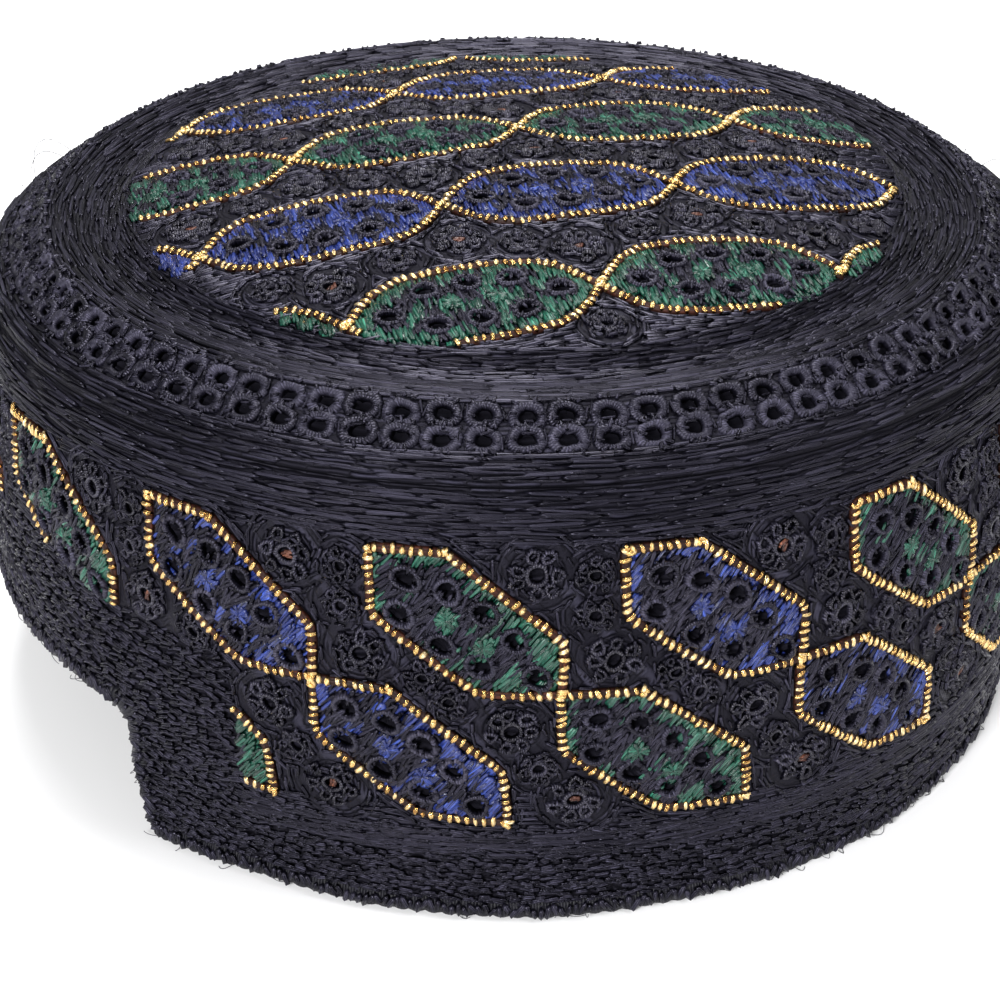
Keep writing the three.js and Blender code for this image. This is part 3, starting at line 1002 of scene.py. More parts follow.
# The edge that the binding follows, in the band's chart: along the rim and round the cut-out,
# with every corner rounded, as even steps, with the way into the cloth and the length at each.
def bindingPath():
    half = capForm["notchHalf"] * capForm["chartRadius"] / capForm["rimRadius"]
    low, high = bindingForm["raise"], capForm["notchHeight"]
    foot, top = bindingForm["footCorner"], capForm["notchCorner"]
    quarter = np.linspace(0, np.pi / 2, 7)

    def bend(x, y, radius, start):
        return polar(start - quarter, radius) + (x, y)

    line = np.concatenate([
        [(-bandRound / 2, low)], bend(-half - foot, low + foot, foot, 0)[::-1],
        bend(-half + top, high - top, top, np.pi), bend(half - top, high - top, top, np.pi / 2),
        bend(half + foot, low + foot, foot, -np.pi / 2)[::-1], [(bandRound / 2, low)],
    ])
    length = runLength(line)
    even = np.linspace(0, length[-1], int(length[-1] / bindingForm["step"]) + 1)[:-1]
    path = np.stack([np.interp(even, length, side) for side in line.T], 1) + (notchMiddle, 0)
    ahead = np.roll(path, -1, 0) - np.roll(path, 1, 0)
    ahead[0], ahead[-1] = ahead[1], ahead[-2]
    return path, unitRows(np.stack([-ahead[:, 1], ahead[:, 0]], 1)), even


edgePath, edgeInward, edgeLength = bindingPath()


# The binding: a section like a U, closed inside the cloth, carried round that edge. Its
# overcast stitches are rounded bumps, which push its outline out and down.
def makeBinding():
    path, inward, length = edgePath, edgeInward, edgeLength
    section = np.array(bindingForm["section"])
    phase = length / bindingForm["pitch"] + 0.25 * np.sin(length / 11) + 0.1 * np.sin(length / 3.7)
    bump = np.abs(np.sin(np.pi * phase)) ** 0.7
    uneven = 0.75 + 0.5 * np.interp(phase, np.arange(int(phase.max()) + 3), draw.random(int(phase.max()) + 3))
    bump = bump * uneven
    shown = np.clip(1 - section[:, 0] / 3.2, 0, 1)
    outSide = np.where(section[:, 1] > -1.5, 1.0, -1.0)
    depth = section[None, :, 0] - bindingForm["bumpHigh"] * bump[:, None] * shown ** 2
    lift = section[None, :, 1] + bindingForm["bumpOut"] * bump[:, None] * outSide * np.sqrt(shown)
    at = path[:, None] + inward[:, None] * depth[..., None]
    points = bandChart(at.reshape(-1, 2), lift.reshape(-1))[0]
    rows, columns = len(path), len(section)
    girth = runLength(section)
    girth = np.append(girth, girth[-1] + bindingForm["hidden"])
    along = np.append(length, length[-1] + bindingForm["step"])
    faces, lay = wrapFaces(rows, columns, along, girth, True)
    points[:, 2] = np.maximum(points[:, 2], 0.02)
    # the binding's colour is lighter on the overcast bumps and darker in the grooves between them: painted
    # shade
    paintedGrooveShade = np.repeat(1 - np.clip(bump, 0, 1), columns)
    return {"points": points, "faces": [faces], "lay": [lay], "marks": {"tint": 0.75 * (1 - paintedGrooveShade)}}


bindingFinish = makeThreadFinish("boundEdge", (0.0008, 0.0008, 0.0015), (0.0036, 0.0034, 0.0066),
                                 (0.013, 0.0125, 0.022), {"Specular IOR Level": 0.25}, 0.5, 2.2, 0.5, 0.0002)
buildPiece("boundEdge", makeBinding(), bindingFinish, ["edge_binding"])
print("bound edge made")

# Rings of dark thread: stitched round the holes in the hexagons, the eyelets and the flowers.
ringForm = {
    "hexRing": [(2.5, -0.35), (2.25, 0.3), (1.85, 0.5), (1.5, 0.1), (1.45, -1.0)],
    "eyelet": [(2.95, -0.6), (2.6, 0.14), (2.0, 0.34), (1.35, 0.0), (1.1, -1.1)],
    "petal": [(1.5, -0.3), (1.0, 0.6), (0.42, -0.3)],
    "heart": [(1.95, -0.3), (1.7, 0.35), (1.3, 0.45), (1.0, -0.4)],
    "petals": 7, "petalOut": 3.0, "variants": 4,
}
ringShine = {"Specular IOR Level": 0.36, "Specular Tint": (0.78, 0.74, 1, 1)}
# dark thread tones; the bright end, reached only on the crests of a few stitches, is a painted highlight
darkTones = ((0.0005, 0.0005, 0.001), (0.0030, 0.0028, 0.0058), (0.05, 0.047, 0.074))
ringFinish = makeThreadFinish("ringThread", *darkTones, ringShine, 0.42, 3.0, 0.34, 0.0001)
knotShine = {"Specular IOR Level": 0.42, "Specular Tint": (0.88, 0.84, 1, 1)}
knotFinish = makeThreadFinish("knotThread", *darkTones, knotShine, 0.42, 3.0, 0.22, 0.0002)


def scatter(count, middle, spread):
    return middle * (1 + spread * draw.uniform(-1, 1, count))


# Sizes along, across and out for many stamps, each from a middle and a spread.
def scatterSizes(count, *sizes):
    return np.stack([scatter(count, middle, spread) for middle, spread in sizes], 1)


# Sets down the variants of a template at random, so that neighbours differ.
def stampVaried(chart, templates, at, angle, scale, lift):
    count = len(at)
    angle, lift = np.broadcast_to(angle, count), np.broadcast_to(lift, count)
    scale = np.broadcast_to(scale, (count, 3))
    choice = draw.integers(0, len(templates), count)
    return [stampOn(chart, template, at[choice == index], angle[choice == index], scale[choice == index],
                    lift[choice == index])
            for index, template in enumerate(templates) if (choice == index).any()]


# The same ring pulled out of round in a few ways: its radius swells and shrinks with the turn.
def unevenRings(profile, segments, squareness, phase, amount):
    found = []
    for _ in range(ringForm["variants"]):
        ring = ringTemplate(profile, segments, squareness, phase)
        x, y = ring["points"][:, 0], ring["points"][:, 1]
        turn = np.arctan2(y, x)
        twice, thrice = [np.sin(waves * turn + draw.uniform(0, 6)) for waves in (2, 3)]
        pull = 1 + amount * twice + amount * 0.8 * thrice
        ring["points"] = ring["points"] * np.stack([pull, pull, np.ones_like(pull)], 1)
        ring["points"][:, 2] += 0.12 * np.sin(2 * turn + draw.uniform(0, 6))
        found.append(ring)
    return found


def hexRings():
    templates = unevenRings(ringForm["hexRing"], 12, 2.0, 0.0, 0.06)
    shapes = []
    for part in ("band", "crown"):
        at, angle = ringPlaces(part)
        at = at + draw.uniform(-0.25, 0.25, at.shape)
        scale = scatterSizes(len(at), (1.06, 0.09), (0.94, 0.09), (1.0, 0.15))
        angle = angle + draw.uniform(-0.4, 0.4, len(at))
        shapes += stampVaried(charts[part], templates, at, angle, scale, 0.75)
    return joinShapes(shapes)


# The heading of a row round the crown at each place, in the chart's own axes.
def roundHeading(at):
    turn = np.arctan2(at[:, 1], at[:, 0])
    _, east, north, _ = crownChart(at)
    tangent = np.stack([-np.sin(turn), np.cos(turn), np.zeros(len(at))], 1)
    return np.arctan2((tangent * north).sum(1), (tangent * east).sum(1))


# Two rows of squarish eyelets on the shoulder, one behind the other.
def shoulderEyelets():
    templates = unevenRings(ringForm["eyelet"], 12, 3.0, np.pi / 12, 0.05)
    for template in templates:
        template["points"] = template["points"] + draw.normal(0, 0.07, template["points"].shape)
    unit = ringForm["eyelet"][0][0]
    count = crownForm["eyeletCount"]
    shapes = []
    for radius in crownForm["eyeletRadii"]:
        turn = (np.arange(count) + draw.uniform(-0.05, 0.05, count)) * 2 * np.pi / count
        turn = turn + crownForm["eyeletTurn"]
        at = polar(turn, radius + draw.uniform(-0.15, 0.15, count))
        wide = np.pi * radius / count * 1.02
        scale = scatterSizes(count, (wide / unit, 0.04), (crownForm["eyeletHalf"] / unit, 0.05), (1.0, 0.15))
        angle = roundHeading(at) + draw.uniform(-0.06, 0.06, count)
        shapes += stampVaried(crownChart, templates, at, angle, scale, 0.25)
    return joinShapes(shapes)


# A flower is a ring of uneven knots about a rimmed hole.
def flowerRings():
    petals = unevenRings(ringForm["petal"], 6, 2.0, 0.0, 0.16)
    hearts = unevenRings(ringForm["heart"], 10, 2.6, 0.3, 0.05)
    shapes = []
    for part in ("band", "crown"):
        at, size = flowers[part]
        count = len(at)
        many = ringForm["petals"]
        turn = np.tile(evenTurns(many), count) + np.repeat(draw.uniform(0, 2, count), many)
        turn = turn + draw.uniform(-0.16, 0.16, len(turn))
        grown = np.repeat(size, many)
        reach = ringForm["petalOut"] * grown * scatter(len(turn), 1.0, 0.1)
        spots = np.repeat(at, many, 0) + polar(turn, reach)
        scale = scatterSizes(len(turn), (1.08, 0.2), (0.92, 0.2), (0.9, 0.3))
        scale[:, :2] *= grown[:, None]
        shapes += stampVaried(charts[part], petals, spots, turn, scale, 0.25)
        scale = scatterSizes(count, (1, 0.1), (1, 0.1), (1, 0.15))
        scale[:, :2] *= size[:, None]
        shapes += stampVaried(charts[part], hearts, at, draw.uniform(0, 3, count), scale, 0.25)
    return joinShapes(shapes)


buildPiece("hexRings", hexRings(), ringFinish)
buildPiece("shoulderEyelets", shoulderEyelets(), ringFinish)
buildPiece("flowerRings", flowerRings(), knotFinish)
print("rings and flowers made")

# Gold outlines over a brown cord.
goldForm = {
    "pitch": 1.33, "sizes": [(1.9, 0.2), (0.42, 0.2), (0.4, 0.2)], "lift": 0.62, "cord": 0.82,
    "lean": 0.15,            # the stitches lie nearly square to the outline
    "heap": 3, "heapSizes": [(1.5, 0.2), (0.4, 0.2), (0.4, 0.2)],
    "stations": [(-0.38, 0.7, 0.0), (-0.13, 1.0, 0.5), (0.13, 1.0, 0.5), (0.38, 0.7, 0.0)],
}
# the gold's cream bright end, reached on the crests of its stitches, is a painted highlight
goldFinish = makeThreadFinish("goldThread", (0.16, 0.06, 0.012), (0.78, 0.51, 0.19), (1.0, 0.9, 0.62),
                              {"Metallic": 1.0}, 0.3, 2.5, 0.2, 0.00013)
cordFinish = makeThreadFinish("brownCord", (0.002, 0.0004, 0.0002), (0.012, 0.0023, 0.001),
                              (0.05, 0.011, 0.0045), {"Specular IOR Level": 0.2}, 0.4, 1.2, 0.5, 0.00014)


def evenOutline(corners, pitch):
    loop = np.vstack([corners, corners[:1]])
    length = runLength(loop)
    count = int(round(length[-1] / pitch))
    even = np.arange(count) * length[-1] / count
    at = np.stack([np.interp(even, length, loop[:, 0]), np.interp(even, length, loop[:, 1])], 1)
    ahead = np.roll(at, -1, 0) - np.roll(at, 1, 0)
    return at, np.arctan2(ahead[:, 1], ahead[:, 0])


# The unbroken stretches of a closed outline, as lists of places in order.
def stretches(kept):
    if kept.all():
        return [np.arange(len(kept))], True
    first = int(np.flatnonzero(~kept)[0])
    order = (np.arange(len(kept)) + first) % len(kept)
    found, run = [], []
    for index in order:
        if kept[index]:
            run.append(index)
        elif run:
            found.append(np.array(run))
            run = []
    if run:
        found.append(np.array(run))
    return [part for part in found if len(part) > 2], False


def goldOutlines(part):
    template = stitchTemplate(4, goldForm["stations"], -0.7)
    stitches, cords = [], []
    for hexagon in hexagons[part]:
        at, heading = evenOutline(hexagon["corners"], goldForm["pitch"])
        kept = ~leftOut[part](at, 0.0)
        if not kept.any():
            continue
        runs, closed = stretches(kept)
        for run in runs:
            cords.append(tubeOn(charts[part], at[run], 0.12, goldForm["cord"], 5, closed))
        at, heading = at[kept], heading[kept]
        count = len(at)
        at = at + draw.uniform(-0.16, 0.16, at.shape)
        angle = heading + np.pi / 2 + goldForm["lean"] + draw.uniform(-0.3, 0.3, count)
        scale = scatterSizes(count, *goldForm["sizes"])
        lift = goldForm["lift"] + draw.uniform(-0.1, 0.12, count)
        stitches.append(stampOn(charts[part], template, at, angle, scale, lift))
        # a heap of stitches where outlines meet
        turns = hexagon["heaps"][~leftOut[part](hexagon["heaps"], 0.3)]
        if len(turns):
            many = np.repeat(turns, goldForm["heap"], 0)
            many = many + draw.normal(0, 0.3, many.shape)
            scale = scatterSizes(len(many), *goldForm["heapSizes"])
            angle = draw.uniform(0, np.pi, len(many))
            lift = draw.uniform(0.6, 0.85, len(many))
            stitches.append(stampOn(charts[part], template, many, angle, scale, lift))
    return joinShapes(stitches), joinShapes(cords)


for part in ("band", "crown"):
    stitches, cords = goldOutlines(part)
    buildPiece(part + "GoldStitches", stitches, goldFinish)
    buildPiece(part + "GoldCords", cords, cordFinish)
print("gold outlines made")

# Short stitches: coloured satin in the hexagons, and dark ground everywhere else.
stitchForm = {
    "slim": [(-0.34, 1.0, 0.15), (0.34, 1.0, 0.15)],
    "satinPitch": 0.42, "satinLength": 3.7, "satinWidth": 0.4, "satinHigh": 0.2, "inset": 0.65,
    "ringGap": 1.9, "fieldEdge": 68.0, "underShare": 0.36, "underWidth": 1.35, "underHigh": 0.14,
    "starStrokes": 10, "starLength": 1.9, "starReach": 1.7,
    "groundPitch": 0.62, "groundLength": 4.2, "groundWidth": 0.36, "groundHigh": 0.36, "groundTop": 70.2,
    "footPitch": 0.72, "footLength": 2.3,
    "linePitch": 0.5, "lineLength": 8.5,
}
dyes = {
    "blue": ((0.002, 0.003, 0.016), (0.008, 0.015, 0.095), (0.045, 0.095, 0.46)),
    "green": ((0.001, 0.008, 0.006), (0.004, 0.040, 0.026), (0.035, 0.21, 0.135)),
}
satinFinish = {
    dye: makeThreadFinish(dye + "Satin", *tones, {"Specular IOR Level": 0.5}, 0.3, 3.0, 0.26, 0.00012)
    for dye, tones in dyes.items()
}
groundFinish = makeThreadFinish("groundThread", *darkTones, ringShine, 0.3, 2.6, 0.27, 0.0002)
slimStitch = stitchTemplate(3, stitchForm["slim"], -0.5)
fullStitch = stitchTemplate(4, stitchForm["slim"], -0.6)


# Sets down stitches of a length, width and height, each a little different.
def sewStitches(chart, template, at, angle, length, width, high, lift, spread=0.18):
    count = len(at)
    scale = scatterSizes(count, (1.0, spread), (width, spread), (high, spread))
    scale[:, 0] *= length
    return stampOn(chart, template, at, angle, scale, lift + draw.uniform(-0.06, 0.16, count))


# Places in rows: each row is cut into steps with a start of its own, and all are shaken a little.
def rowPlaces(low, high, pitch, step):
    rows = np.arange(low[1], high[1], pitch)
    x, y = np.meshgrid(np.arange(low[0], high[0], step), rows)
    x = x + draw.uniform(0, step, len(rows))[:, None] + draw.uniform(-0.3, 0.3, x.shape) * step
    y = y + draw.uniform(-0.28, 0.28, y.shape) * pitch
    return np.stack([x.ravel(), y.ravel()], 1)


# Which of a hexagon's stitches are dyed: those along its upper side, in patches where a sum of
# sines is high, and about its stars; on the crown most others too.
def dyedStitches(part, hexagon, at, local, distance, gap):
    a, b = local.T
    waves = draw.uniform(0, 2 * np.pi, 3)
    patch = np.sin(0.75 * a + waves[0]) * np.sin(0.9 * b + waves[1])
    patch = patch + 0.5 * np.sin(1.3 * a - 0.8 * b + waves[2])
    if part == "band":
        reach = np.clip(2.2 + 0.13 * (a + 4), 1.7, 4.4)
        filled = ((b > 0.6) | (a > 9.5) | ((a < -9) & (b < 1)) | (patch > 0.55)) & (distance < reach)
    else:
        filled = ((b < 0.4) | (np.abs(a) > 11)) & (distance < 3.5)
        filled |= (patch > 0.15) | ((distance < 2.0) & (patch > -0.4))
        filled &= (gap > 2.6) | (distance < 1.7)
    chance = np.where(filled, 0.97, 0.06)
    stars = localPlaces(hexagon, patterns[part]["stars"])
    toStar = np.min([lengthOf(at - spot) for spot in stars], 0)
    return draw.random(len(at)) < np.where(toStar < stitchForm["starReach"], 0.98, chance)


# Strokes of the dye that meet in each of a hexagon's stars.
def starStrokes(part, hexagon, template):
    stars = localPlaces(hexagon, patterns[part]["stars"])
    stars = stars[~leftOut[part](stars, 1.2)]
    if not len(stars):
        return []
    strokes, length = stitchForm["starStrokes"], stitchForm["starLength"]
    turn = np.tile(evenTurns(strokes), len(stars))
    turn = turn + draw.uniform(-0.2, 0.2, len(turn))
    spots = np.repeat(stars, strokes, 0) + polar(turn, length * scatter(len(turn), 0.45, 0.15))
    return [sewStitches(charts[part], template, spots, turn, length, 0.36, 0.32, 0.82)]


# The stitches inside the hexagons, laid across each one in its dye and in dark thread. Wide
# flat stitches of the dye lie under the fine ones.
def hexagonStitches():
    found = {"blue": [], "green": [], "dark": []}
    star = stitchTemplate(4, stitchForm["slim"], -0.2)
    full = stitchForm["satinLength"]
    for part, edge in (("band", 0.5), ("crown", -1.0)):
        rings = ringPlaces(part)[0]
        for hexagon in hexagons[part]:
            local = rowPlaces((-12, -24), (12, 24), stitchForm["satinPitch"], full * 0.72)[:, ::-1]
            at = localPlaces(hexagon, local)
            distance, inside, _ = outlineDistance(at, hexagon["corners"])
            gap = np.full(len(at), 9.0)
            for ring in rings[lengthOf(offsetFrom(part, rings, hexagon["middle"])) < 30]:
                gap = np.minimum(gap, lengthOf(offsetFrom(part, at, ring)))
            kept = inside & (distance > stitchForm["inset"]) & (gap > stitchForm["ringGap"])
            kept &= ~leftOut[part](at, edge)
            at, local, distance, gap = at[kept], local[kept], distance[kept], gap[kept]
            if not len(at):
                continue
            dyed = dyedStitches(part, hexagon, at, local, distance, gap)
            angle = np.arctan2(hexagon["across"][1], hexagon["across"][0])
            # no stitch runs on past its outline, or the edge of the crown's field
            room = distance
            if part == "crown":
                room = np.minimum(distance, stitchForm["fieldEdge"] - lengthOf(at))
            swell = 0.5 * smoothStep(distance, 0.4, 3.2)
            kinds = ((hexagon["dye"], dyed, 0.16, 0.22), ("dark", ~dyed, 0.4, 0.14))
            for name, picked, spread, lift in kinds:
                count = int(picked.sum())
                if count:
                    way = angle + draw.uniform(-spread, spread, count)
                    found[name].append(sewStitches(
                        charts[part], slimStitch, at[picked], way, np.minimum(full, 1.9 * room[picked] + 0.5),
                        stitchForm["satinWidth"], stitchForm["satinHigh"], lift + swell[picked]))
            under = dyed & (draw.random(len(at)) < stitchForm["underShare"])
            found[hexagon["dye"]].append(sewStitches(
                charts[part], slimStitch, at[under], angle, np.minimum(full, 1.6 * room[under]),
                stitchForm["underWidth"], stitchForm["underHigh"], 0.1 + swell[under]))
            found[hexagon["dye"]] += starStrokes(part, hexagon, star)
    return {name: joinShapes(shapes) for name, shapes in found.items()}


# Dark stitches on the open ground. They lie level, or along the row on the crown's field, but
# turn to follow an outline or a flower that is close.
def groundStitches(part):
    pitch, length = stitchForm["groundPitch"], stitchForm["groundLength"]
    if part == "band":
        low = bandPattern["borderHigh"] - 1
        at = rowPlaces((-bandRound / 2, low), (bandRound / 2, stitchForm["groundTop"]), pitch, length * 0.8)
        at = at[~inBorder(at, 0.2)]
        level = 0.0
    else:
        field = rowPlaces((-66, -66), (66, 66), pitch, length * 0.75)
        at = fieldPlace(field[:, 0], field[:, 1])
        at = at[lengthOf(at) < 66.2]
        level = crownPattern["turn"] + np.pi / 2
    marks = survey(part, at)
    kept = ~marks["inHexagon"] & ~marks["inFlower"] & (marks["echo"] > 0.6)
    at, echo, heading = at[kept], marks["echo"][kept], marks["heading"][kept]
    count = len(at)
    heading = np.where(echo < 2.4, heading, level) + draw.uniform(-0.14, 0.14, count)
    # a full stitch only where there is room for it beside an outline
    return sewStitches(charts[part], slimStitch, at, heading, np.where(echo < 1.4, 2.6, length),
                       stitchForm["groundWidth"], stitchForm["groundHigh"], 0.12)


# The knotted look of the border: short stitches every which way about its rows of dark holes.
def borderStitches():
    length = stitchForm["footLength"]
    at = rowPlaces((-bandRound / 2, 1.6), (bandRound / 2, 50.5), stitchForm["footPitch"], length * 0.78)
    at = at[inBorder(at, 0.0) & awayFromCut(at, 1.5)]
    gap = np.full(len(at), 9.0)
    for spot in borderSpots:
        near = np.flatnonzero(np.abs(at[:, 1] - spot[1]) < 3)
        gap[near] = np.minimum(gap[near], lengthOf(offsetFrom("band", at[near], spot)))
    at = at[gap > 0.66]
    count = len(at)
    inBlock = np.abs(fromNotch(at[:, 0])) < bandPattern["borderHalf"]
    swing = np.where(inBlock, 0.42, 0.32)
    angle = draw.uniform(-1, 1, count) * swing
    return sewStitches(bandChart, slimStitch, at, angle, length, 0.38, 0.34, 0.1, 0.3)


# Long stitches in rows: round the shoulder, and along the top of the band and above its foot.
lineForm = {
    "shoulder": [(88.0, 91.2), (73.2, 81.1), (66.4, 73.2)],
    "band": (69.9, 77.3),
    "foot": (14.2, 18.9),
    "skipped": 0.1, "reach": (66.3, 91.1),
}


def lineStitches():
    full, pitch = stitchForm["lineLength"], stitchForm["linePitch"]
    shapes = []
    for low, high in lineForm["shoulder"]:
        for radius in np.arange(low, high, pitch * 0.86):
            # the innermost rows have shorter stitches, which swing more
            outside = radius > lineForm["shoulder"][-1][1]
            step = full * 0.8 if outside else full * 0.55
            turn = np.arange(0, 2 * np.pi, step / radius)[:-1]
            turn = turn + draw.uniform(0, 1) + draw.uniform(-0.3, 0.3, len(turn)) * step / radius
            turn = turn[draw.random(len(turn)) > lineForm["skipped"]]
            at = polar(turn, np.clip(radius + draw.uniform(-0.24, 0.24, len(turn)), *lineForm["reach"]))
            angle = roundHeading(at) + draw.normal(0, 0.03 if outside else 0.06, len(turn))
            shapes.append(sewStitches(crownChart, fullStitch, at, angle, step * 1.28, 0.26, 0.3, 0.2, 0.35))
    for low, high in (lineForm["band"], lineForm["foot"]):
        at = rowPlaces((-bandRound / 2, low), (bandRound / 2, high), pitch, full * 0.78)
        at = at[draw.random(len(at)) > lineForm["skipped"]]
        if low < bandPattern["borderHigh"]:
            at = at[np.abs(fromNotch(at[:, 0])) > bandPattern["borderHalf"]]
        angle = draw.normal(0, 0.04, len(at))
        shapes.append(sewStitches(bandChart, fullStitch, at, angle, full, 0.25, 0.3, 0.2, 0.35))
    return joinShapes(shapes)


inHexagons = hexagonStitches()
for dye in dyes:
    buildPiece(dye + "Satin", inHexagons[dye], satinFinish[dye])
buildPiece("hexagonGround", inHexagons["dark"], groundFinish)
buildPiece("bandGround", groundStitches("band"), groundFinish)
buildPiece("crownGround", groundStitches("crown"), groundFinish)
buildPiece("borderGround", borderStitches(), groundFinish)
buildPiece("stitchLines", lineStitches(), groundFinish)


# Overcast stitches over the bound edge, square to it.
def edgeStitches():
    at, inward = edgePath[::2], edgeInward[::2]
    count = len(at)
    depth = draw.uniform(1.3, 2.3, count)
    angle = np.arctan2(inward[:, 1], inward[:, 0]) + draw.uniform(-0.7, 0.7, count)
    return sewStitches(bandChart, fullStitch, at + inward * depth[:, None], angle, 2.7, 0.5, 0.5, 0.62, 0.25)


buildPiece("edgeStitches", edgeStitches(), groundFinish)

# Strokes of thread: how many to a ring, how far out, their size and how much they swing.
strokeForm = {
    "hexagon": {"count": 9, "radius": 1.95, "squareness": 2.0, "length": 1.4, "width": 0.24,
                "lift": 1.06, "swing": 0.45},
    "flower": {"count": 22, "squareness": 2.0, "length": 1.8, "width": 0.3,
               "lift": 0.42, "swing": 0.7, "along": np.pi / 2},
    # a few lie about an eyelet's rim, and short thick ones cross it
    "eyelet": [
        {"count": 4, "radius": 2.6, "squareness": 3.2, "length": 2.2, "width": 0.24,
         "lift": 0.4, "swing": 0.4, "along": np.pi / 2},
        {"count": 8, "radius": 1.9, "squareness": 3.0, "length": 1.35, "width": 0.36,
         "lift": 0.46, "swing": 0.5},
    ],
}


# Strokes about a ring of the given radius, each across it, or along it where that is a quarter turn.
def strokesAbout(chart, at, angle, radius, squareness, count, length, width, lift, swing, along=0.0):
    turn = np.tile(evenTurns(count), len(at)) + draw.uniform(-0.2, 0.2, count * len(at))
    facing = turn + np.repeat(np.broadcast_to(angle, len(at)), count)
    spots = np.repeat(at, count, 0) + polar(facing, radius * planReach(turn, squareness))
    return sewStitches(chart, slimStitch, spots, facing + along + draw.uniform(-swing, swing, len(turn)),
                       length, width, width, lift, 0.25)


def overlaidStrokes():
    shapes = []
    for part in ("band", "crown"):
        at, angle = ringPlaces(part)
        shapes.append(strokesAbout(charts[part], at, angle, **strokeForm["hexagon"]))
        at, size = flowers[part]
        count = strokeForm["flower"]["count"]
        reach = draw.uniform(2.0, 5.2, count * len(at)) * np.repeat(size, count)
        shapes.append(strokesAbout(charts[part], at, 0.0, reach, **strokeForm["flower"]))
    for radius in crownForm["eyeletRadii"]:
        at = polar(evenTurns(crownForm["eyeletCount"]) + crownForm["eyeletTurn"], radius)
        for strokes in strokeForm["eyelet"]:
            shapes.append(strokesAbout(crownChart, at, roundHeading(at), **strokes))
    return joinShapes(shapes)


buildPiece("overlaidStrokes", overlaidStrokes(), groundFinish)

# Small copper-red hearts in some of the flowers: a few strokes laid together.
heartForm = {"share": 0.45, "strokes": 6, "spread": 0.55}
heartShine = {"Specular IOR Level": 0.6, "Metallic": 0.3}
heartFinish = makeThreadFinish("flowerHearts", (0.008, 0.002, 0.001), (0.045, 0.011, 0.006),
                               (0.30, 0.10, 0.05), heartShine, 0.3, 1.5, 0.3, 0.00008)


def flowerHearts():
    shapes = []
    for part in ("band", "crown"):
        at, size = flowers[part]
        at = at[(draw.random(len(at)) < heartForm["share"]) & (size > 0.9)]
        many = np.repeat(at, heartForm["strokes"], 0)
        way = np.repeat(draw.uniform(0, np.pi, len(at)), heartForm["strokes"])
        many = many + draw.uniform(-1, 1, many.shape) * heartForm["spread"]
        shapes.append(sewStitches(charts[part], fullStitch, many, way + draw.uniform(-0.5, 0.5, len(way)),
                                  1.7, 0.26, 0.24, 0.12))
    return joinShapes(shapes)


buildPiece("flowerHearts", flowerHearts(), heartFinish)

# Loose fibres: short arcs that stand off the edges, and a few longer loops on the shoulder.
fibreForm = {
    "edge": 90, "seam": 70, "thick": 0.06, "steps": 9,
    "loops": [(-109.5, -100, 5.2), (-107.5, -98.5, 3.6), (104, 97, 3.6)],    # from, to and height
}


def looseFibres():
    share = np.linspace(0, 1, fibreForm["steps"])
    shapes = []
    for index in draw.integers(4, len(edgePath) - 4, fibreForm["edge"]):
        reach = draw.uniform(1.2, 3.6)
        turn = draw.uniform(0, 2 * np.pi)
        at = edgePath[index] + polar(turn, share * reach) * (1, 0.6)
        at[:, 1] = np.maximum(at[:, 1], 0.3)
        rise = draw.uniform(0.3, 1.3) * np.sin(np.pi * share * draw.uniform(0.6, 1.0)) + 0.5
        shapes.append(tubeOn(bandChart, at, rise, fibreForm["thick"], 3, False))
    for turn in draw.uniform(-np.pi, np.pi, fibreForm["seam"]):
        radius = draw.uniform(68, 91)
        reach = draw.uniform(1.5, 4.5)
        way = draw.uniform(-0.5, 0.5) + turn + np.pi / 2
        at = polar(turn, radius) + polar(way, share * reach)
        at *= np.minimum(1, 91.0 / lengthOf(at))[:, None]
        rise = draw.uniform(0.4, 1.3) * np.sin(np.pi * share) + 0.3
        shapes.append(tubeOn(crownChart, at, rise, fibreForm["thick"], 3, False))
    for start, end, high in fibreForm["loops"]:
        angle = np.radians(start + (end - start) * share)
        at = polar(angle, 88.0 + 1.5 * share)
        rise = high * np.sin(np.pi * np.minimum(share * 1.1, 1)) + 0.3
        shapes.append(tubeOn(crownChart, at, rise, fibreForm["thick"] * 1.3, 3, False))
    return joinShapes(shapes)


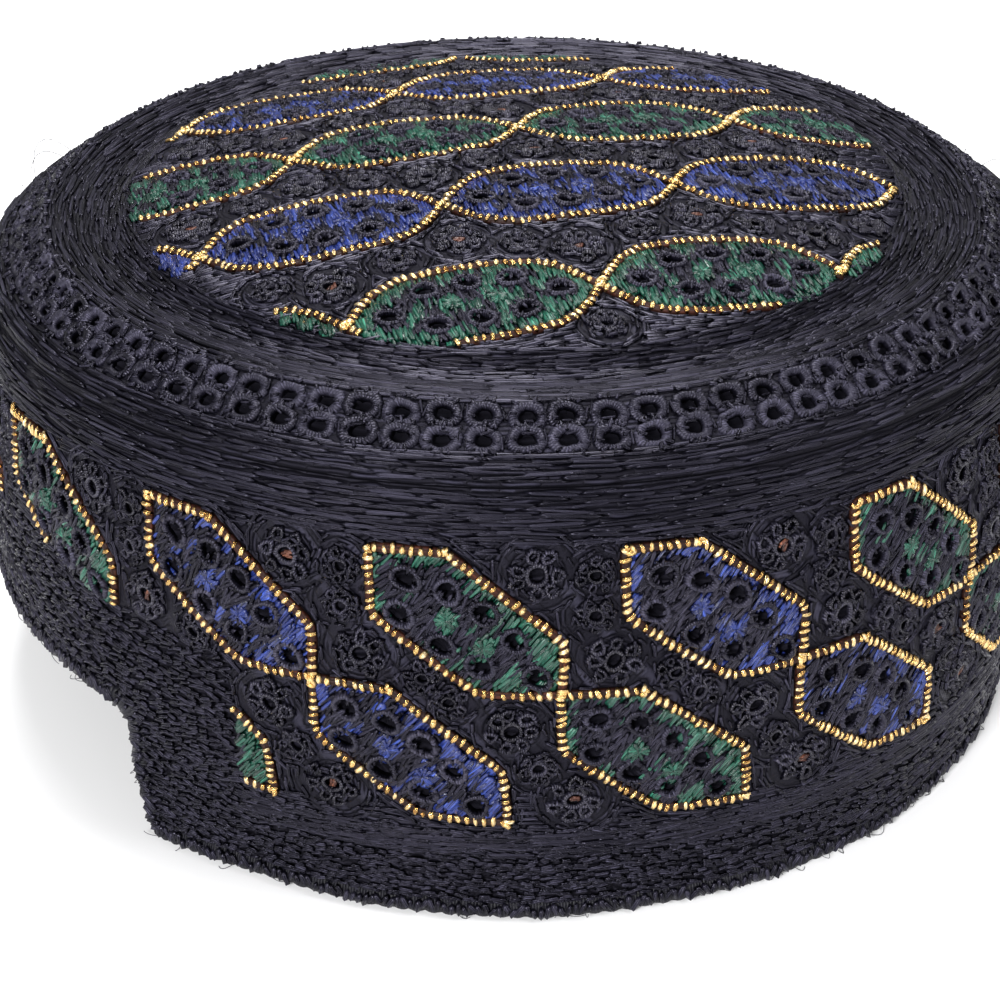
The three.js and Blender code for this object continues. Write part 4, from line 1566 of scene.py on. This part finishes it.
fibreFinish = makeThreadFinish("looseFibre", *darkTones, ringShine, 0.2, 1.5, 0.5, 0.00003)
buildPiece("looseFibres", looseFibres(), fibreFinish)
print("stitches, hearts and fibres made")


def makeFloor():
    mesh = bpy.data.meshes.new("floor")
    reach = 3.0
    corners = [(-reach, -reach, 0), (reach, -reach, 0), (reach, reach, 0), (-reach, reach, 0)]
    mesh.from_pydata(corners, [], [(0, 1, 2, 3)])
    finish, tree, surface = newFinish("paleFloor", {"Roughness": 0.7, "Specular IOR Level": 0.3})
    place = addNode(tree, "TexCoord").outputs["Object"]
    fine = addNode(tree, "TexNoise", {"Scale": 3.0, "Vector": place})
    pale = rampNode(tree, fine.outputs["Fac"], [(0.3, (0.86, 0.86, 0.87)), (0.7, (0.90, 0.90, 0.905))])
    feed(tree, surface, {"Base Color": pale})
    mesh.materials.append(finish)
    floor = bpy.data.objects.new("floor", mesh)
    bpy.context.scene.collection.objects.link(floor)


# Soft boxes: name, place, size and power. Each faces a point a little above the floor.
lightForm = {
    "world": 0.45,
    "boxes": [
        ("topBox", (-0.3, 0.02, 1.1), (0.5, 0.5), 17.0),
        ("frontBox", (1.0, -0.42, 0.54), (0.34, 0.34), 19.5),
        ("sideBox", (0.5, 1.0, 0.8), (0.4, 0.4), 8.0),
    ],
}


def makeLights():
    world = bpy.data.worlds.new("studio")
    bpy.context.scene.world = world
    world.use_nodes = True
    background = world.node_tree.nodes["Background"].inputs
    background["Color"].default_value = (1, 1, 1, 1)
    background["Strength"].default_value = lightForm["world"]
    for name, place, size, power in lightForm["boxes"]:
        lamp = bpy.data.lights.new(name, "AREA")
        lamp.shape = "RECTANGLE"
        lamp.size, lamp.size_y = size
        lamp.energy = power
        box = bpy.data.objects.new(name, lamp)
        aim = Vector(place) - Vector((0, 0, 0.05))
        box.rotation_mode = "QUATERNION"
        box.rotation_quaternion = aim.to_track_quat("Z", "Y")
        box.location = place
        bpy.context.scene.collection.objects.link(box)


makeFloor()
makeLights()
bpy.context.scene.view_settings.view_transform = "Standard"
print("floor and light set")
